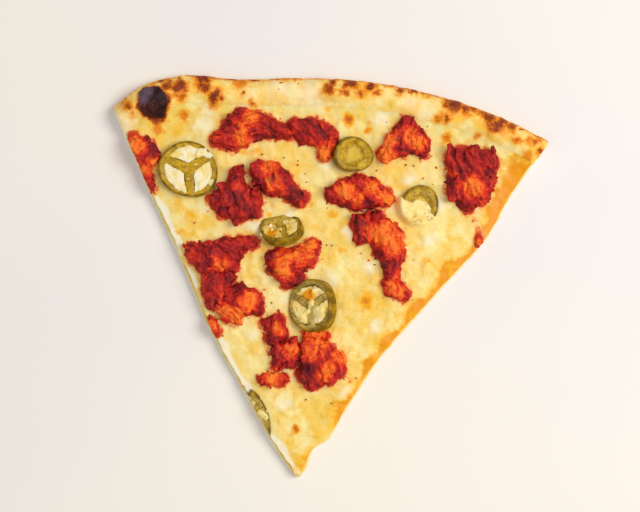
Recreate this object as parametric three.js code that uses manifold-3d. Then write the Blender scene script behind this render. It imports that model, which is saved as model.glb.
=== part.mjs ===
// A slice of chicken and jalapeno pizza: one sixth of a round pie, lying flat.
// Units are millimetres. +Z is up, the tip points to -Y and the browned rim curves along +Y.
// The origin is under the middle of the slice, on its flat underside.

import * as THREE from 'three';
import { mergeVertices } from 'three/addons/utils/BufferGeometryUtils.js';
import { ImprovedNoise } from 'three/addons/math/ImprovedNoise.js';
import Module from 'manifold-3d';

const wasm = await Module();
wasm.setup();
const noise = new ImprovedNoise();

// Driving sizes
const HALF_WIDTH = 108;        // middle of the slice to either corner of the rim
const HALF_LENGTH = 98;        // middle of the slice to the tip, and to the top of the rim
const CORNER_Y = 75.4;         // height of both rim corners along the slice
const DOUGH = 3.6;             // baked base under the cheese
const RIM_RISE = 6.6;          // crest of the rim above the base
const RIM_CREST = 6.5;         // crest's distance in from the outer edge
const RIM_FOOT = 23;           // where the rim has flattened into the base
const CHEESE = 2.3;            // melted cheese on the flat of the slice
const CHEESE_BORDER = 12;      // bare rim outside the cheese
const CUT_SPREAD = 1.3;        // base that shows beyond the cheese along the left cut
const CUT_FLUSH = 1.1;         // the same along the right cut
const GAP = 0.3;               // between pieces that touch
const SKY = 45;                // height that clears every topping

// Outline: three curves that meet at the corners and the tip
const curve = (points) => new THREE.CatmullRomCurve3(points.map(([x, y]) => new THREE.Vector3(x, y, 0)));
const leftCut = curve([
  [-7, -HALF_LENGTH + 0.6], [-20, -81], [-32, -62], [-51, -33], [-70, 4], [-91, 42], [-HALF_WIDTH, CORNER_Y],
]);
const rightCut = curve([
  [-4, -HALF_LENGTH], [-0.6, -92], [1.8, -84], [9, -78.5], [17, -63], [31, -38.5], [57, -4.5], [80, 25],
  [92, 49], [HALF_WIDTH, CORNER_Y],
]);
const rim = curve([
  [-HALF_WIDTH, CORNER_Y], [-95, 86.5], [-74, 93.8], [-48, 94], [-22, 96.8], [5.5, HALF_LENGTH], [31, 96.6],
  [58, 92.2], [84, 85], [HALF_WIDTH, CORNER_Y],
]);
const tip = new THREE.LineCurve3(leftCut.getPoint(0), rightCut.getPoint(0));

// Bumps baked into the rim: x, y, radius, height
const BLISTERS = [
  [-89, 78.5, 8.5, 4.2], [-101, 77, 3, 0.8], [-82, 87, 3, 0.8], [-76, 88, 4, 1.1], [-64, 90.5, 4.5, 1.4],
  [-59, 83, 4.5, 1.3], [-3, 92.5, 4, 0.9], [8, 93, 7, 1.3], [33, 93, 3, 0.8], [57, 89, 5, 1.2],
  [79, 83, 6.5, 1.8], [98, 73.5, 5, 0.8],
];

// Chicken pieces, each a clump of lobes: x, y, radius, height above the cheese
const CHICKEN = {
  chicken_corner: [
    [-95.5, 58, 5, 5.5], [-90, 55.5, 5.5, 6.5], [-87.2, 52, 3.8, 5.5], [-89.5, 46.5, 3, 4],
    [-87.6, 41, 2.8, 3.6], [-86, 37, 2, 2.6],
  ],
  chicken_rim_left: [
    [-55.5, 63, 4, 4.2], [-49, 62, 4, 4.2], [-50, 69, 5, 6.8], [-44.5, 75, 5, 7.4],
    [-38, 72.5, 6.2, 8.2], [-43, 66, 4.6, 6], [-31.5, 71, 5.6, 7.8], [-26.5, 69.5, 4.2, 6.4],
    [-22.5, 69, 3.6, 5.4], [-44, 70.5, 5, 7],
  ],
  chicken_rim_mid: [
    [-18, 72.2, 4.6, 6.8], [-12, 72.6, 5.2, 7.8], [-6, 71.2, 4.8, 7.6], [-0.6, 69.4, 4, 6.6],
    [-14.5, 67, 3.4, 4.8], [-6.5, 67, 4, 6.2],
  ],
  chicken_rim_drop: [[-3.6, 64.2, 4, 6], [-3.6, 59.8, 3.2, 4.8], [-1, 65.4, 3.8, 6]],
  chicken_rim_right: [
    [35.6, 79.6, 3.2, 4.8], [33.5, 73, 5.5, 7.2], [40, 72, 5.8, 7.8], [45, 69, 3.8, 6.6],
    [29.5, 69, 4.4, 6.6], [26.5, 62.6, 4.2, 5.6], [34, 66, 4.8, 6.8], [45.2, 63.5, 2.4, 4.4],
  ],
  chicken_square: [
    [62, 63, 5.6, 7.6], [69.5, 63.5, 6, 8.2], [77, 62.6, 6.2, 7.8], [63, 55, 5.8, 7.8], [62, 48, 4.8, 7],
    [70, 50.5, 6, 9], [76.4, 53, 5, 7.8], [68, 42.6, 5.6, 6.6], [74.8, 45, 4.4, 6],
  ],
  chicken_left_low: [
    [-45.2, 47.6, 3.8, 5.6], [-45.6, 39.6, 6.2, 8.6], [-37, 35, 5.6, 7.6], [-50, 34.6, 5.6, 7.2],
    [-56, 33.6, 3.2, 4], [-43, 29, 5.6, 7], [-36, 30, 4, 6], [-50.6, 28.6, 3.4, 4],
  ],
  chicken_left_high: [
    [-34.5, 49, 5, 7], [-28, 49.6, 4.8, 7.4], [-23, 46.6, 4.8, 7.2], [-35, 44.4, 3.4, 5.6],
    [-27.5, 43, 5.4, 8.2], [-19.5, 41.2, 5.2, 7.2], [-14.2, 37.4, 4.2, 5.8],
  ],
  chicken_middle: [
    [2.6, 40.4, 4.2, 6.2], [8, 43, 5.8, 8.2], [15, 46, 5.8, 8.8], [20.8, 46, 4.8, 8.6],
    [27.4, 41.5, 4.8, 7], [12.6, 38, 5, 7.4], [20.6, 39.6, 4.8, 7.6],
  ],
  chicken_neck: [
    [15.8, 28, 4.4, 6.4], [24.4, 31.4, 3.6, 6], [17, 21, 3.8, 5.6], [24.5, 24, 6.2, 9],
    [33, 22.6, 5.6, 8.6], [29.6, 15.6, 6, 8.2], [36.4, 14, 3.8, 6.6], [33, 8.6, 4.6, 6.4],
    [34.4, 3.6, 3.8, 5.4],
  ],
  chicken_neck_foot: [
    [32.8, -1, 3.8, 5.2], [37.4, -3, 4, 4.8], [33.6, -4.8, 3, 4.2], [41, -6, 2.8, 2.8],
  ],
  chicken_edge_high: [
    [-62.4, 5.6, 4.4, 5.2], [-56, 8, 5.6, 7.2], [-48.5, 10.5, 6, 8.2], [-41.5, 13, 4.4, 6.8],
    [-35.4, 14.6, 2.8, 4], [-50, 3.4, 5.6, 8], [-57.6, 1.8, 4.4, 6.4], [-44.6, 3, 4, 6.6],
    [-64.6, 9, 3.4, 4.8],
  ],
  chicken_edge_mid: [
    [-54, -4.6, 4.8, 7.2], [-46.4, -3.4, 4.2, 6.2], [-55.4, -10.6, 3.4, 5], [-53, -17, 3, 4.4],
    [-49, -9, 4.6, 6.8], [-50, -14, 3.6, 5.4],
  ],
  chicken_edge_low: [
    [-40, -10, 4.6, 6.8], [-33.6, -13.6, 4.8, 7.2], [-31, -17.4, 3.8, 5.2], [-40, -16.8, 5.6, 8.2],
    [-46, -17.8, 4.4, 6.6], [-45, -22, 3.2, 4.6], [-44, -12.4, 4, 6.4], [-41, -22.6, 3.6, 5],
  ],
  chicken_edge_scrap: [[-52.4, -25.4, 2.4, 3.4], [-50.4, -29.4, 2.2, 3]],
  chicken_centre: [
    [-26.6, 8.4, 2.6, 5], [-25, 2.4, 2.6, 4.6], [-20.4, 8.6, 4.6, 7.6], [-20, 1.6, 4.6, 7.6],
    [-13, 9.2, 5.2, 7.6], [-8, 8, 4, 6.4], [-6.6, 14.6, 3.8, 6], [-14, 2.4, 3.8, 5.6],
    [-17, -2.6, 4.2, 6.2], [-12, -1.4, 3.4, 5], [-16.5, 5, 4.6, 7.6],
  ],
  chicken_stub: [[-21, -24, 4.6, 7], [-19, -29.2, 4.2, 7], [-23, -32, 3.2, 5], [-27.4, -24, 1.9, 2.6]],
  chicken_tip_left: [
    [-17, -39, 4.4, 6], [-18.4, -43.4, 3.6, 4.6], [-12.4, -41, 4.2, 7], [-12.4, -34.8, 4, 6.6],
    [-20.4, -37.2, 3.4, 5],
  ],
  chicken_tip_right: [
    [-4, -34, 4.8, 7.8], [3, -36, 5.4, 8.4], [-2.4, -42, 5.6, 9], [6, -42, 5.6, 8], [10.4, -39.6, 4, 7],
    [10.8, -45.4, 3.6, 6], [1, -48.4, 5, 6], [-5.6, -47.8, 4.2, 5.4], [7, -48.4, 3.6, 4.6],
    [-2, -51.6, 3.8, 4.4],
  ],
  chicken_tip_strip: [
    [-6.4, -28.3, 1.8, 4.4], [-3, -28, 2, 4.6], [0.6, -28, 2, 4.6], [4.2, -28.4, 1.8, 4.4],
  ],
  chicken_tip_bar: [
    [-25.4, -51.5, 2.8, 4.2], [-22, -51.6, 3, 4.6], [-18.6, -51.2, 3, 4.6], [-15.4, -50.2, 2.8, 4.4],
  ],
  chicken_right_scrap: [[76.6, 21.8, 2.5, 3.2], [75.4, 24.8, 1.7, 1.8]],
};

// Jalapeno slices: place, radius, how oval, thickness, degrees round, lean out of level, slope of the side,
// height of the middle above the cheese, and seed chambers
const JALAPENOS = {
  jalapeno_ring: {
    at: [-69, 47.6], radius: 14, oval: 0.05, thick: 3.6, turn: -21, lean: [0, 0.07], lift: 1.2, chambers: 3,
  },
  jalapeno_cap: {
    at: [10.4, 61], radius: 9.2, oval: 0.07, thick: 6, turn: 0, lean: [0.05, 0.12], lift: 1.8, chambers: 0,
  },
  jalapeno_half: {
    at: [45.2, 39.2], radius: 9.4, oval: 0, thick: 3.6, turn: 90, lean: [0.14, 0.16], lift: 1.2, chambers: 0,
  },
  jalapeno_upright: {
    at: [-21.8, 22.4], radius: 10.4, oval: 0, thick: 4, turn: 20, lean: [-0.75, -0.15], slope: [1.2, -0.6],
    lift: 1.2, chambers: 2,
  },
  jalapeno_oval: {
    at: [-3.7, -14.2], radius: 11.8, oval: 0.1, thick: 5, turn: 95, lean: [0, -0.36], slope: [1.8, 0],
    lift: 2.8, chambers: 3,
  },
  jalapeno_cut: {
    at: [-34.9, -71.8], radius: 16, oval: 0.16, thick: 3.2, turn: -58, lean: [0.03, -0.05], lift: -1,
    chambers: 2,
  },
};

const smooth = (t) => {
  const c = THREE.MathUtils.clamp(t, 0, 1);
  return c * c * (3 - 2 * c);
};

// Shortest distance from a point to a curve, by its chords
function chords(path, count) {
  const points = path.getSpacedPoints(count);
  return (x, y) => {
    let best = Infinity;
    for (let i = 0; i < count; i++) {
      const a = points[i];
      const b = points[i + 1];
      const dx = b.x - a.x;
      const dy = b.y - a.y;
      const t = THREE.MathUtils.clamp(((x - a.x) * dx + (y - a.y) * dy) / (dx * dx + dy * dy), 0, 1);
      best = Math.min(best, Math.hypot(x - a.x - t * dx, y - a.y - t * dy));
    }
    return best;
  };
}
const fromRim = chords(rim, 60);
const fromLeft = chords(leftCut, 40);
const fromRight = chords(rightCut, 40);

// Heights of the dough and of the cheese on it
function rimProfile(d) {
  if (d < RIM_CREST) {
    const t = 1 - d / RIM_CREST;
    return 0.3 + 0.7 * Math.sqrt(1 - t * t);
  }
  return 1 - smooth((d - RIM_CREST) / (RIM_FOOT - RIM_CREST));
}

function doughTop(x, y) {
  const rise = RIM_RISE * (1 + 0.22 * noise.noise(x / 23, y / 40, 3.1));
  let z = DOUGH + rise * rimProfile(fromRim(x, y)) + 0.5 * noise.noise(x / 26, y / 26, 0.4);
  for (const [bx, by, r, h] of BLISTERS) z += h * Math.exp(-(((x - bx) ** 2 + (y - by) ** 2) / (r * r)));
  return z;
}

function cheeseTop(x, y) {
  const border = smooth((fromRim(x, y) - CHEESE_BORDER) / 9);
  const cut = smooth(Math.min(fromLeft(x, y) - CUT_SPREAD, fromRight(x, y) - CUT_FLUSH) / 5);
  const lumps = 0.55 * noise.noise(x / 13, y / 13, 7.7) + 0.35 * noise.noise(x / 6.5, y / 6.5, 2.3);
  return doughTop(x, y) + GAP + 0.5 + (CHEESE - 0.5 + lumps) * border * (0.55 + 0.45 * cut);
}

// Place in the outline: u runs from the left cut to the right, v from the tip to the rim
function slicePoint(u, v) {
  const low = tip.getPoint(u);
  const high = rim.getPointAt(u);
  const left = leftCut.getPointAt(v);
  const right = rightCut.getPointAt(v);
  const mix = (k) =>
    (1 - v) * low[k] + v * high[k] + (1 - u) * left[k] + u * right[k] -
    (1 - u) * ((1 - v) * low0[k] + v * high0[k]) - u * ((1 - v) * low1[k] + v * high1[k]);
  return [mix('x'), mix('y')];
}
const low0 = leftCut.getPoint(0);
const low1 = rightCut.getPoint(0);
const high0 = rim.getPoint(0);
const high1 = rim.getPoint(1);

// A point of the cheese: pulled in from the two cuts and from the rim
function cheesePoint(u, v) {
  const width = leftCut.getPointAt(v).distanceTo(rightCut.getPointAt(v));
  const slant = Math.cos(0.5);
  const start = Math.min(CUT_SPREAD / slant / width, 0.3);
  const end = 1 - Math.min(CUT_FLUSH / slant / width, 0.2);
  const border = CHEESE_BORDER - 1 + 1.6 * Math.sin(u * 19) * Math.sin(u * Math.PI);
  const length = 2 * HALF_LENGTH - 6;
  return slicePoint(start + u * (end - start), 0.006 + v * (1 - border / length - 0.006));
}

// A geometry with only its places, and one vertex at each
function welded(geometry, tolerance) {
  const extra = Object.keys(geometry.attributes).filter((name) => name !== 'position');
  for (const name of extra) geometry.deleteAttribute(name);
  return mergeVertices(geometry, tolerance);
}

// A closed slab: a box whose width, height and depth become u, v and the level between two surfaces.
// Rows crowd towards the tip and the rim, where the shape changes most.
function slab(columns, rows, layers, place) {
  const box = welded(new THREE.BoxGeometry(1, 1, 1, columns, rows, layers), 1e-5);
  const spots = box.attributes.position;
  for (let i = 0; i < spots.count; i++) {
    const u = THREE.MathUtils.clamp(spots.getX(i) + 0.5, 0, 1);
    const row = THREE.MathUtils.clamp(spots.getY(i) + 0.5, 0, 1);
    const v = THREE.MathUtils.clamp(row - 0.1 * Math.sin(2 * Math.PI * row), 0, 1);
    spots.setXYZ(i, ...place(u, v, spots.getZ(i) + 0.5));
  }
  return box;
}

const toSolid = (geometry) => {
  const whole = welded(geometry, 1e-4);
  return new wasm.Manifold(new wasm.Mesh({
    numProp: 3,
    vertProperties: whole.attributes.position.array,
    triVerts: new Uint32Array(whole.index.array),
  }));
};

const toGeometry = (solid) => {
  const mesh = solid.getMesh();
  const geometry = new THREE.BufferGeometry();
  geometry.setAttribute('position', new THREE.BufferAttribute(mesh.vertProperties, 3));
  geometry.setIndex(new THREE.BufferAttribute(mesh.triVerts, 1));
  return geometry;
};

// The dough: its outer wall rounds under at the rim, and its base spreads a little at the cuts
const COLUMNS = 26;
const ROWS = 22;
const doughWall = (x, y, level) => {
  const rimNear = 1 - smooth(fromRim(x, y) / 6);
  return level === 0 ? rimNear * 0.02 : (1 - rimNear) * 0.006 * level;
};
function doughPlace(u, v, level) {
  const [x, y] = slicePoint(u, v);
  const pull = 1 - doughWall(x, y, level);
  return [x * pull, (y + 20) * pull - 20, level * doughTop(x, y)];
}
const dough = toSolid(slab(COLUMNS, ROWS, 2, doughPlace));
const overDough = (inset, low, high) => toSolid(slab(COLUMNS, ROWS, 1, (u, v, level) => {
  const [x, y, z] = doughPlace(inset + u * (1 - 2 * inset), v, 1);
  return [x, y, level ? high(z) : low];
}));
const underCheese = overDough(0, -10, (z) => z + GAP);
const doughColumn = overDough(0.003, -8, () => SKY);

// The cheese, and the open air over it that the toppings are trimmed to
const cheeseSlab = (inset, low, high) => toSolid(slab(COLUMNS, ROWS - 4, 1, (u, v, level) => {
  const [x, y] = cheesePoint(inset + u * (1 - 2 * inset), inset + v * (1 - 2 * inset));
  return [x, y, level ? high(x, y) : low];
}));
const cheese = cheeseSlab(0, -5, cheeseTop).intersect(doughColumn).subtract(underCheese);
const sunk = cheeseSlab(0, -20, (x, y) => cheeseTop(x, y) + GAP);
const air = cheeseSlab(0.004, -10, () => SKY).subtract(sunk);

// Height of a clump over the cheese: its lobes are domes that run into each other, with crags on them
function clumpHeight(lobes, grow, x, y) {
  let sum = 0;
  for (const [cx, cy, radius, height] of lobes) {
    const t = ((x - cx) ** 2 + (y - cy) ** 2) / (radius + grow) ** 2;
    if (t < 1) sum += ((height + grow) * Math.sqrt(1 - t)) ** 4;
  }
  const crag = 1 + 0.22 * noise.noise(x / 3.4, y / 3.4, 5.5);
  return sum ** 0.25 * crag;
}

// A clump of chicken: a ball whose upper half takes the clump's outline and height
function clump(lobes, grow) {
  const weight = lobes.reduce((sum, l) => sum + l[2], 0);
  const [cx, cy] = [0, 1].map((k) => lobes.reduce((sum, l) => sum + l[k] * l[2], 0) / weight);
  const reach = (angle) => {
    let r = 0;
    for (let step = 0.5; step < 30; step += 0.25)
      if (clumpHeight(lobes, grow, cx + step * Math.cos(angle), cy + step * Math.sin(angle)) > 0) r = step;
    return r + 0.2;
  };
  const ball = welded(new THREE.SphereGeometry(1, 22, 8).rotateX(Math.PI / 2), 1e-5);
  const spots = ball.attributes.position;
  for (let i = 0; i < spots.count; i++) {
    const [a, b, c] = [spots.getX(i), spots.getY(i), spots.getZ(i)];
    const out = Math.hypot(a, b);
    const angle = Math.atan2(b, a);
    const r = out > 1e-3 ? out * reach(angle) : 0;
    const x = cx + r * Math.cos(angle);
    const y = cy + r * Math.sin(angle);
    const rise = c > 1e-3 ? clumpHeight(lobes, grow, x, y) + grow : 2 * c - 0.4;
    spots.setXYZ(i, x, y, cheeseTop(x, y) + rise);
  }
  return toSolid(ball);
}

// A jalapeno slice: a wall round its seed chambers, or a plain disc where none shows. The slope is how
// far its lower face lies to the side of its upper one.
function pepper({ at, radius, oval, thick, turn, lean, lift, chambers, slope = [0, 0] }, grow) {
  const outline = (angle, r) => r * (1 + oval * Math.cos(2 * angle) + 0.03 * Math.cos(3 * angle + 1));
  const shape = new THREE.Shape();
  const sides = 22;
  for (let i = 0; i < sides; i++) {
    const angle = (i / sides) * 2 * Math.PI;
    const r = outline(angle, radius + grow);
    if (i) shape.lineTo(r * Math.cos(angle), r * Math.sin(angle));
    else shape.moveTo(r, 0);
  }
  const half = Math.PI / Math.max(chambers, 1) - 0.17;
  for (let k = 0; k < (grow ? 0 : chambers); k++) {
    const angle = (k / chambers) * 2 * Math.PI;
    const hole = new THREE.Path();
    hole.moveTo(0.2 * radius * Math.cos(angle), 0.2 * radius * Math.sin(angle));
    hole.lineTo(0.79 * radius * Math.cos(angle - half), 0.79 * radius * Math.sin(angle - half));
    hole.absarc(0, 0, 0.79 * radius, angle - half, angle + half, false);
    hole.closePath();
    shape.holes.push(hole);
  }
  const depth = thick + 2 * grow;
  const body = new THREE.ExtrudeGeometry(shape, { depth, bevelEnabled: false, curveSegments: 5 });
  body.translate(0, 0, -depth / 2);
  const spin = new THREE.Matrix4().makeRotationZ(THREE.MathUtils.degToRad(turn));
  const tilt = new THREE.Matrix4().makeRotationFromEuler(new THREE.Euler(lean[0], lean[1], 0));
  const [sx, sy] = slope.map((across) => -across / thick);
  const slant = new THREE.Matrix4().set(1, 0, sx, 0, 0, 1, sy, 0, 0, 0, 1, 0, 0, 0, 0, 1);
  body.applyMatrix4(tilt.multiply(slant).multiply(spin));
  body.translate(at[0], at[1], cheeseTop(...at) + lift);
  return toSolid(body);
}

// Later toppings are cut back from earlier ones that they touch
const makers = [
  ...Object.entries(JALAPENOS).map(([name, spec]) => [name, (grow) => pepper(spec, grow)]),
  ...Object.entries(CHICKEN).map(([name, lobes]) => [name, (grow) => clump(lobes, grow)]),
];
const toppings = new Map();
const keepClear = [];
const apart = (a, b) => [0, 1].some((k) => a.min[k] > b.max[k] || b.min[k] > a.max[k]);
const bigger = (a, b) => (b.volume() > a.volume() ? b : a);
const largest = (solid) => solid.decompose().reduce(bigger);
for (const [name, make] of makers) {
  let solid = make(0).intersect(air);
  for (const other of keepClear)
    if (!apart(solid.boundingBox(), other.boundingBox())) solid = solid.subtract(other);
  toppings.set(name, largest(solid));
  keepClear.push(make(GAP));
}

const FINISHES = {
  dough: { color: 0xe9bf78, roughness: 0.75 },
  cheese: { color: 0xf7df9a, roughness: 0.4 },
  chicken: { color: 0xb4321c, roughness: 0.5 },
  jalapeno: { color: 0x9c9a34, roughness: 0.3 },
};
const materials = {};
for (const [name, finish] of Object.entries(FINISHES))
  materials[name] = new THREE.MeshStandardMaterial({ ...finish, metalness: 0 });

const slice = new THREE.Group();
function add(name, solid, material) {
  const mesh = new THREE.Mesh(toGeometry(solid), material);
  mesh.name = name;
  slice.add(mesh);
}
add('crust', dough, materials.dough);
add('cheese', cheese, materials.cheese);
for (const [name, solid] of toppings) add(name, solid, materials[name.split('_')[0]]);

export default slice;
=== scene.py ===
"""A slice of chicken and jalapeno pizza: browned dough, melted cheese and its toppings, lying flat.

Sizes in the tables are millimetres. The tip points to -Y, the rim lies at +Y, and +Z is up.
"""
import math
import random

import bpy
import numpy as np
from mathutils import Matrix, Vector
from mathutils.bvhtree import BVHTree


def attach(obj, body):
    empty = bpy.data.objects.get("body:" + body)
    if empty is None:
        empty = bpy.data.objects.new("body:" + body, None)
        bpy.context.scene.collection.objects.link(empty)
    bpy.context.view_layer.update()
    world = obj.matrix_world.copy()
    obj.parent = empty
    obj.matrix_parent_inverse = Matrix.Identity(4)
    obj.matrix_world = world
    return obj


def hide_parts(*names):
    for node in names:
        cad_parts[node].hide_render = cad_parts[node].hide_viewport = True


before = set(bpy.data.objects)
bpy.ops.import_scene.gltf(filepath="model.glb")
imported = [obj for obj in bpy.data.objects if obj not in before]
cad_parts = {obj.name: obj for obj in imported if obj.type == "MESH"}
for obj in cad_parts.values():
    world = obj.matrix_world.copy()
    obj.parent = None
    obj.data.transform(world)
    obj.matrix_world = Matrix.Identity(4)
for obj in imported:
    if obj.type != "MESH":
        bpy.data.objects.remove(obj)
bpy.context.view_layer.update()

MM = 0.001
HALF_LENGTH = 98
FARTHEST = 1e9

# Width of the bare rim, and how far the cheese is drawn in from the left cut and from the right one
CHEESE_BORDER = 12
LEFT_INSET = 1.3
RIGHT_INSET = 1.1

# The rounded edge of the rim: how far in it reaches, and how far it drops
TOP_ROUNDING = (4.0, 3.0)
BASE_ROUNDING = (2.2, 1.5)
RIM_SOFTENED = 9

# Columns and rows of the upper grid of each sheet, and those of its lower one
CRUST_GRID = (220, 200, 160)
CHEESE_GRID = (300, 290, 36)

# How finely the shapes of each kind of piece are joined into one skin
DOUGH_VOXEL = 0.8
MEAT_VOXEL = 0.45
PEPPER_VOXEL = 0.32
FILLING_VOXEL = 0.35

# The three curved edges of the slice, from the tip up both cuts, and along the rim
LEFT_CUT = [(-7, -97.4), (-20, -81), (-32, -62), (-51, -33), (-70, 4), (-91, 42), (-108, 75.4)]
RIGHT_CUT = [
    (-4, -98), (-0.6, -92), (1.8, -84), (9, -78.5), (17, -63), (31, -38.5), (57, -4.5), (80, 25),
    (92, 49), (108, 75.4),
]
RIM = [
    (-108, 75.4), (-95, 86.5), (-74, 93.8), (-48, 94), (-22, 96.8), (5.5, 98), (31, 96.6), (58, 92.2),
    (84, 85), (108, 75.4),
]

# Burnt and browned blisters of the rim: x, y, radius, how dark
BROWNED = [
    (-100.8, 76.2, 2.2, 0.85), (-98, 73, 1.4, 0.5), (-81.9, 87.3, 2.4, 0.85), (-75.5, 87.4, 2.8, 0.95),
    (-75.3, 83, 2, 0.7), (-65.1, 92, 3.2, 0.95), (-63.7, 87.6, 2.6, 0.85), (-58.6, 84.6, 2.8, 1.0),
    (-59.4, 80.8, 1.6, 0.6), (-72.7, 74.7, 1.7, 0.5), (-85.3, 66.5, 1.4, 0.4), (-45.1, 87.5, 1.3, 0.5),
    (-40.3, 82.4, 1.2, 0.5), (-47, 93, 3, 0.55), (-86, 90, 1.6, 0.9), (-60, 94, 1.8, 0.8),
    (-1.9, 95.4, 2.4, 0.9), (7, 95.1, 2.8, 0.95), (-3.7, 92.2, 2.6, 0.85), (16.8, 95.3, 2.2, 0.95),
    (5.4, 90, 1.8, 0.8), (11.2, 90.9, 1.8, 0.75), (2, 90.4, 1.2, 0.6), (20, 91.6, 1.3, 0.7),
    (32.1, 93.9, 2, 0.9), (38.8, 95, 1.8, 0.95), (44, 94, 1.4, 0.9), (54.1, 88.6, 1.6, 0.8),
    (58, 89, 3.4, 1.0), (64.9, 87.4, 2.6, 0.9), (54.5, 82.2, 1.9, 0.85), (51, 81, 1.2, 0.6),
    (76.4, 84.6, 3.4, 0.9), (80.6, 81.1, 3.8, 0.9), (83.4, 83.4, 3.2, 1.0), (78.3, 78.6, 2.2, 0.7),
    (73, 86, 2, 0.7), (90.6, 74.4, 1.5, 0.6), (92.8, 73.6, 1.2, 0.5), (96.4, 74.8, 1.8, 0.65),
    (99.6, 74.2, 1.9, 0.7), (102.6, 69.6, 1.4, 0.75), (96, 67, 1.4, 0.4), (103, 74.6, 1.2, 0.5),
    (88, 81, 2, 0.8), (69, 89, 1.8, 0.8), (56.2, 73, 1.3, 0.5), (70.3, 74.5, 1.2, 0.4),
]

# The burnt bubble in the corner: the brown ring round it, its black skin and a painted grey-purple highlight
# on its upper left
CHARRED = [(-88.2, 78.4, 8.2, 1.0), (-86.4, 74, 5.4, 0.8)]
BUBBLE = [(-89.4, 80, 6.2), (-87.4, 77.2, 6.4), (-89.6, 76.6, 5.4), (-87.4, 80.6, 5.4)]
PAINTED_SHEEN = [(-93.4, 79.6, 3.6), (-91.4, 83.4, 3.2), (-90.6, 78.4, 2.6, 0.5)]

# Pale floury places of the rim: x, y, radius, strength
FLOURY = [
    (-101, 72, 6, 0.9), (-98, 66, 5, 0.8), (-96, 78, 3, 0.5), (-45, 90, 6, 0.5), (-28, 91, 7, 0.7),
    (-12, 90, 7, 0.8), (36, 90, 5, 0.8), (45, 86, 5, 0.6), (92, 79, 4, 0.5), (86, 74, 4, 0.4),
]

# Baked spots of the cheese: x, y, radius, strength
TOASTED = [
    (7.7, 77.4, 2.4, 1.0), (17.3, 74.2, 1.9, 0.75), (1, 85, 1.6, 0.5), (-3, 83, 1.4, 0.5),
    (56, 72.6, 1.5, 0.6), (-67, 26, 1.6, 0.5), (-71, 17, 1.4, 0.5), (-62, 15, 1.2, 0.5),
    (-28, 28, 1.4, 0.5), (-9, 35, 1.6, 0.5), (3, 30, 1.6, 0.6), (9, 14.5, 1.2, 0.5), (49, 12.5, 1.6, 0.5),
    (22, -9, 2.6, 0.8), (23, -13, 2, 0.6), (65, 8, 2.8, 0.8), (-7.8, -75.2, 1.5, 1.0), (46, -15, 1.6, 0.7),
    (41, -22, 1.8, 0.7), (29, -37, 1.8, 0.6), (17, -63, 1.8, 0.6), (-3, -93.4, 1.2, 0.5), (78, 36, 2, 0.4),
    (-66, 78, 1.4, 0.4), (60, 60, 1.2, 0.3), (-42.5, 58.7, 1.3, 0.5), (-36.7, 59.4, 1.4, 0.5),
    (-33.6, 57.6, 1, 0.4), (-27, 56.6, 1, 0.4), (72, 70, 1.4, 0.4), (95.6, 66.6, 1.3, 0.5),
    (28, 78, 1, 0.4), (13, 67.6, 0.9, 0.4),
]

# Sauce and crumbs smeared on the cheese, white lumps in it, and amber oil: x, y, radius, strength
SMEARS = [
    (74.6, 29, 3.2, 0.9), (72, 33, 2.8, 0.8), (77.2, 24.6, 3, 1.0), (69, 37, 3.6, 0.8), (80, 22, 2.4, 0.8),
    (21, 11, 3.6, 0.5), (17, -49, 2.6, 0.7), (-33, 59.5, 3, 0.4), (-27, 58.5, 2.4, 0.4), (-38, 59.5, 3, 0.45),
    (40, 58.5, 3.4, 0.4), (-42, -44, 3, 0.4), (-47, -36, 3, 0.5), (72, 38.5, 5, 0.7), (-24, -18, 4, 0.45),
    (36, -8, 3, 0.6), (-30, 20, 3, 0.35), (84, 44, 4, 0.5), (44, 35, 3.4, 0.45), (40.6, 39, 2.6, 0.5),
    (-91, 50, 4, 0.7), (-86, 36, 4, 0.6), (-94, 60, 5, 0.6),
]
CREAMY = [
    (-63, 70, 6), (-62, 78, 5), (-34, 22, 4), (-37, 24, 4), (24, 80, 6), (55, 40, 5), (12, 22, 4),
    (23, 7, 5), (5, 0, 5), (-18, -12, 5), (-32, -30, 4), (-18, 29, 4), (-2, 54, 4), (-60, 30, 5),
    (-10, 88, 8), (30, 88, 8), (-45, 84, 7), (15, -55, 5), (-14, -62, 5), (40, 52, 5), (28, -22, 5),
    (-66, 60, 4), (52, 22, 5),
]
OILY = [
    (94, 56, 11, 1.0), (86, 42, 9, 1.0), (78, 26, 6, 0.7), (-4, -88, 10, 0.4), (97, 68, 8, 0.9),
    (12, -64, 7, 0.5), (63, 8, 6, 0.9), (47, -12, 5, 0.8), (70, 74, 6, 0.3), (-78, 68, 7, 0.35),
    (26, -40, 5, 0.6), (-66, 22, 6, 0.5), (-72, 30, 4, 0.4), (24, -11, 4, 0.5), (2, -74, 5, 0.3),
    (-60, 14, 4, 0.4), (10, 12, 3, 0.3), (34, -28, 5, 0.5),
]

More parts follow.
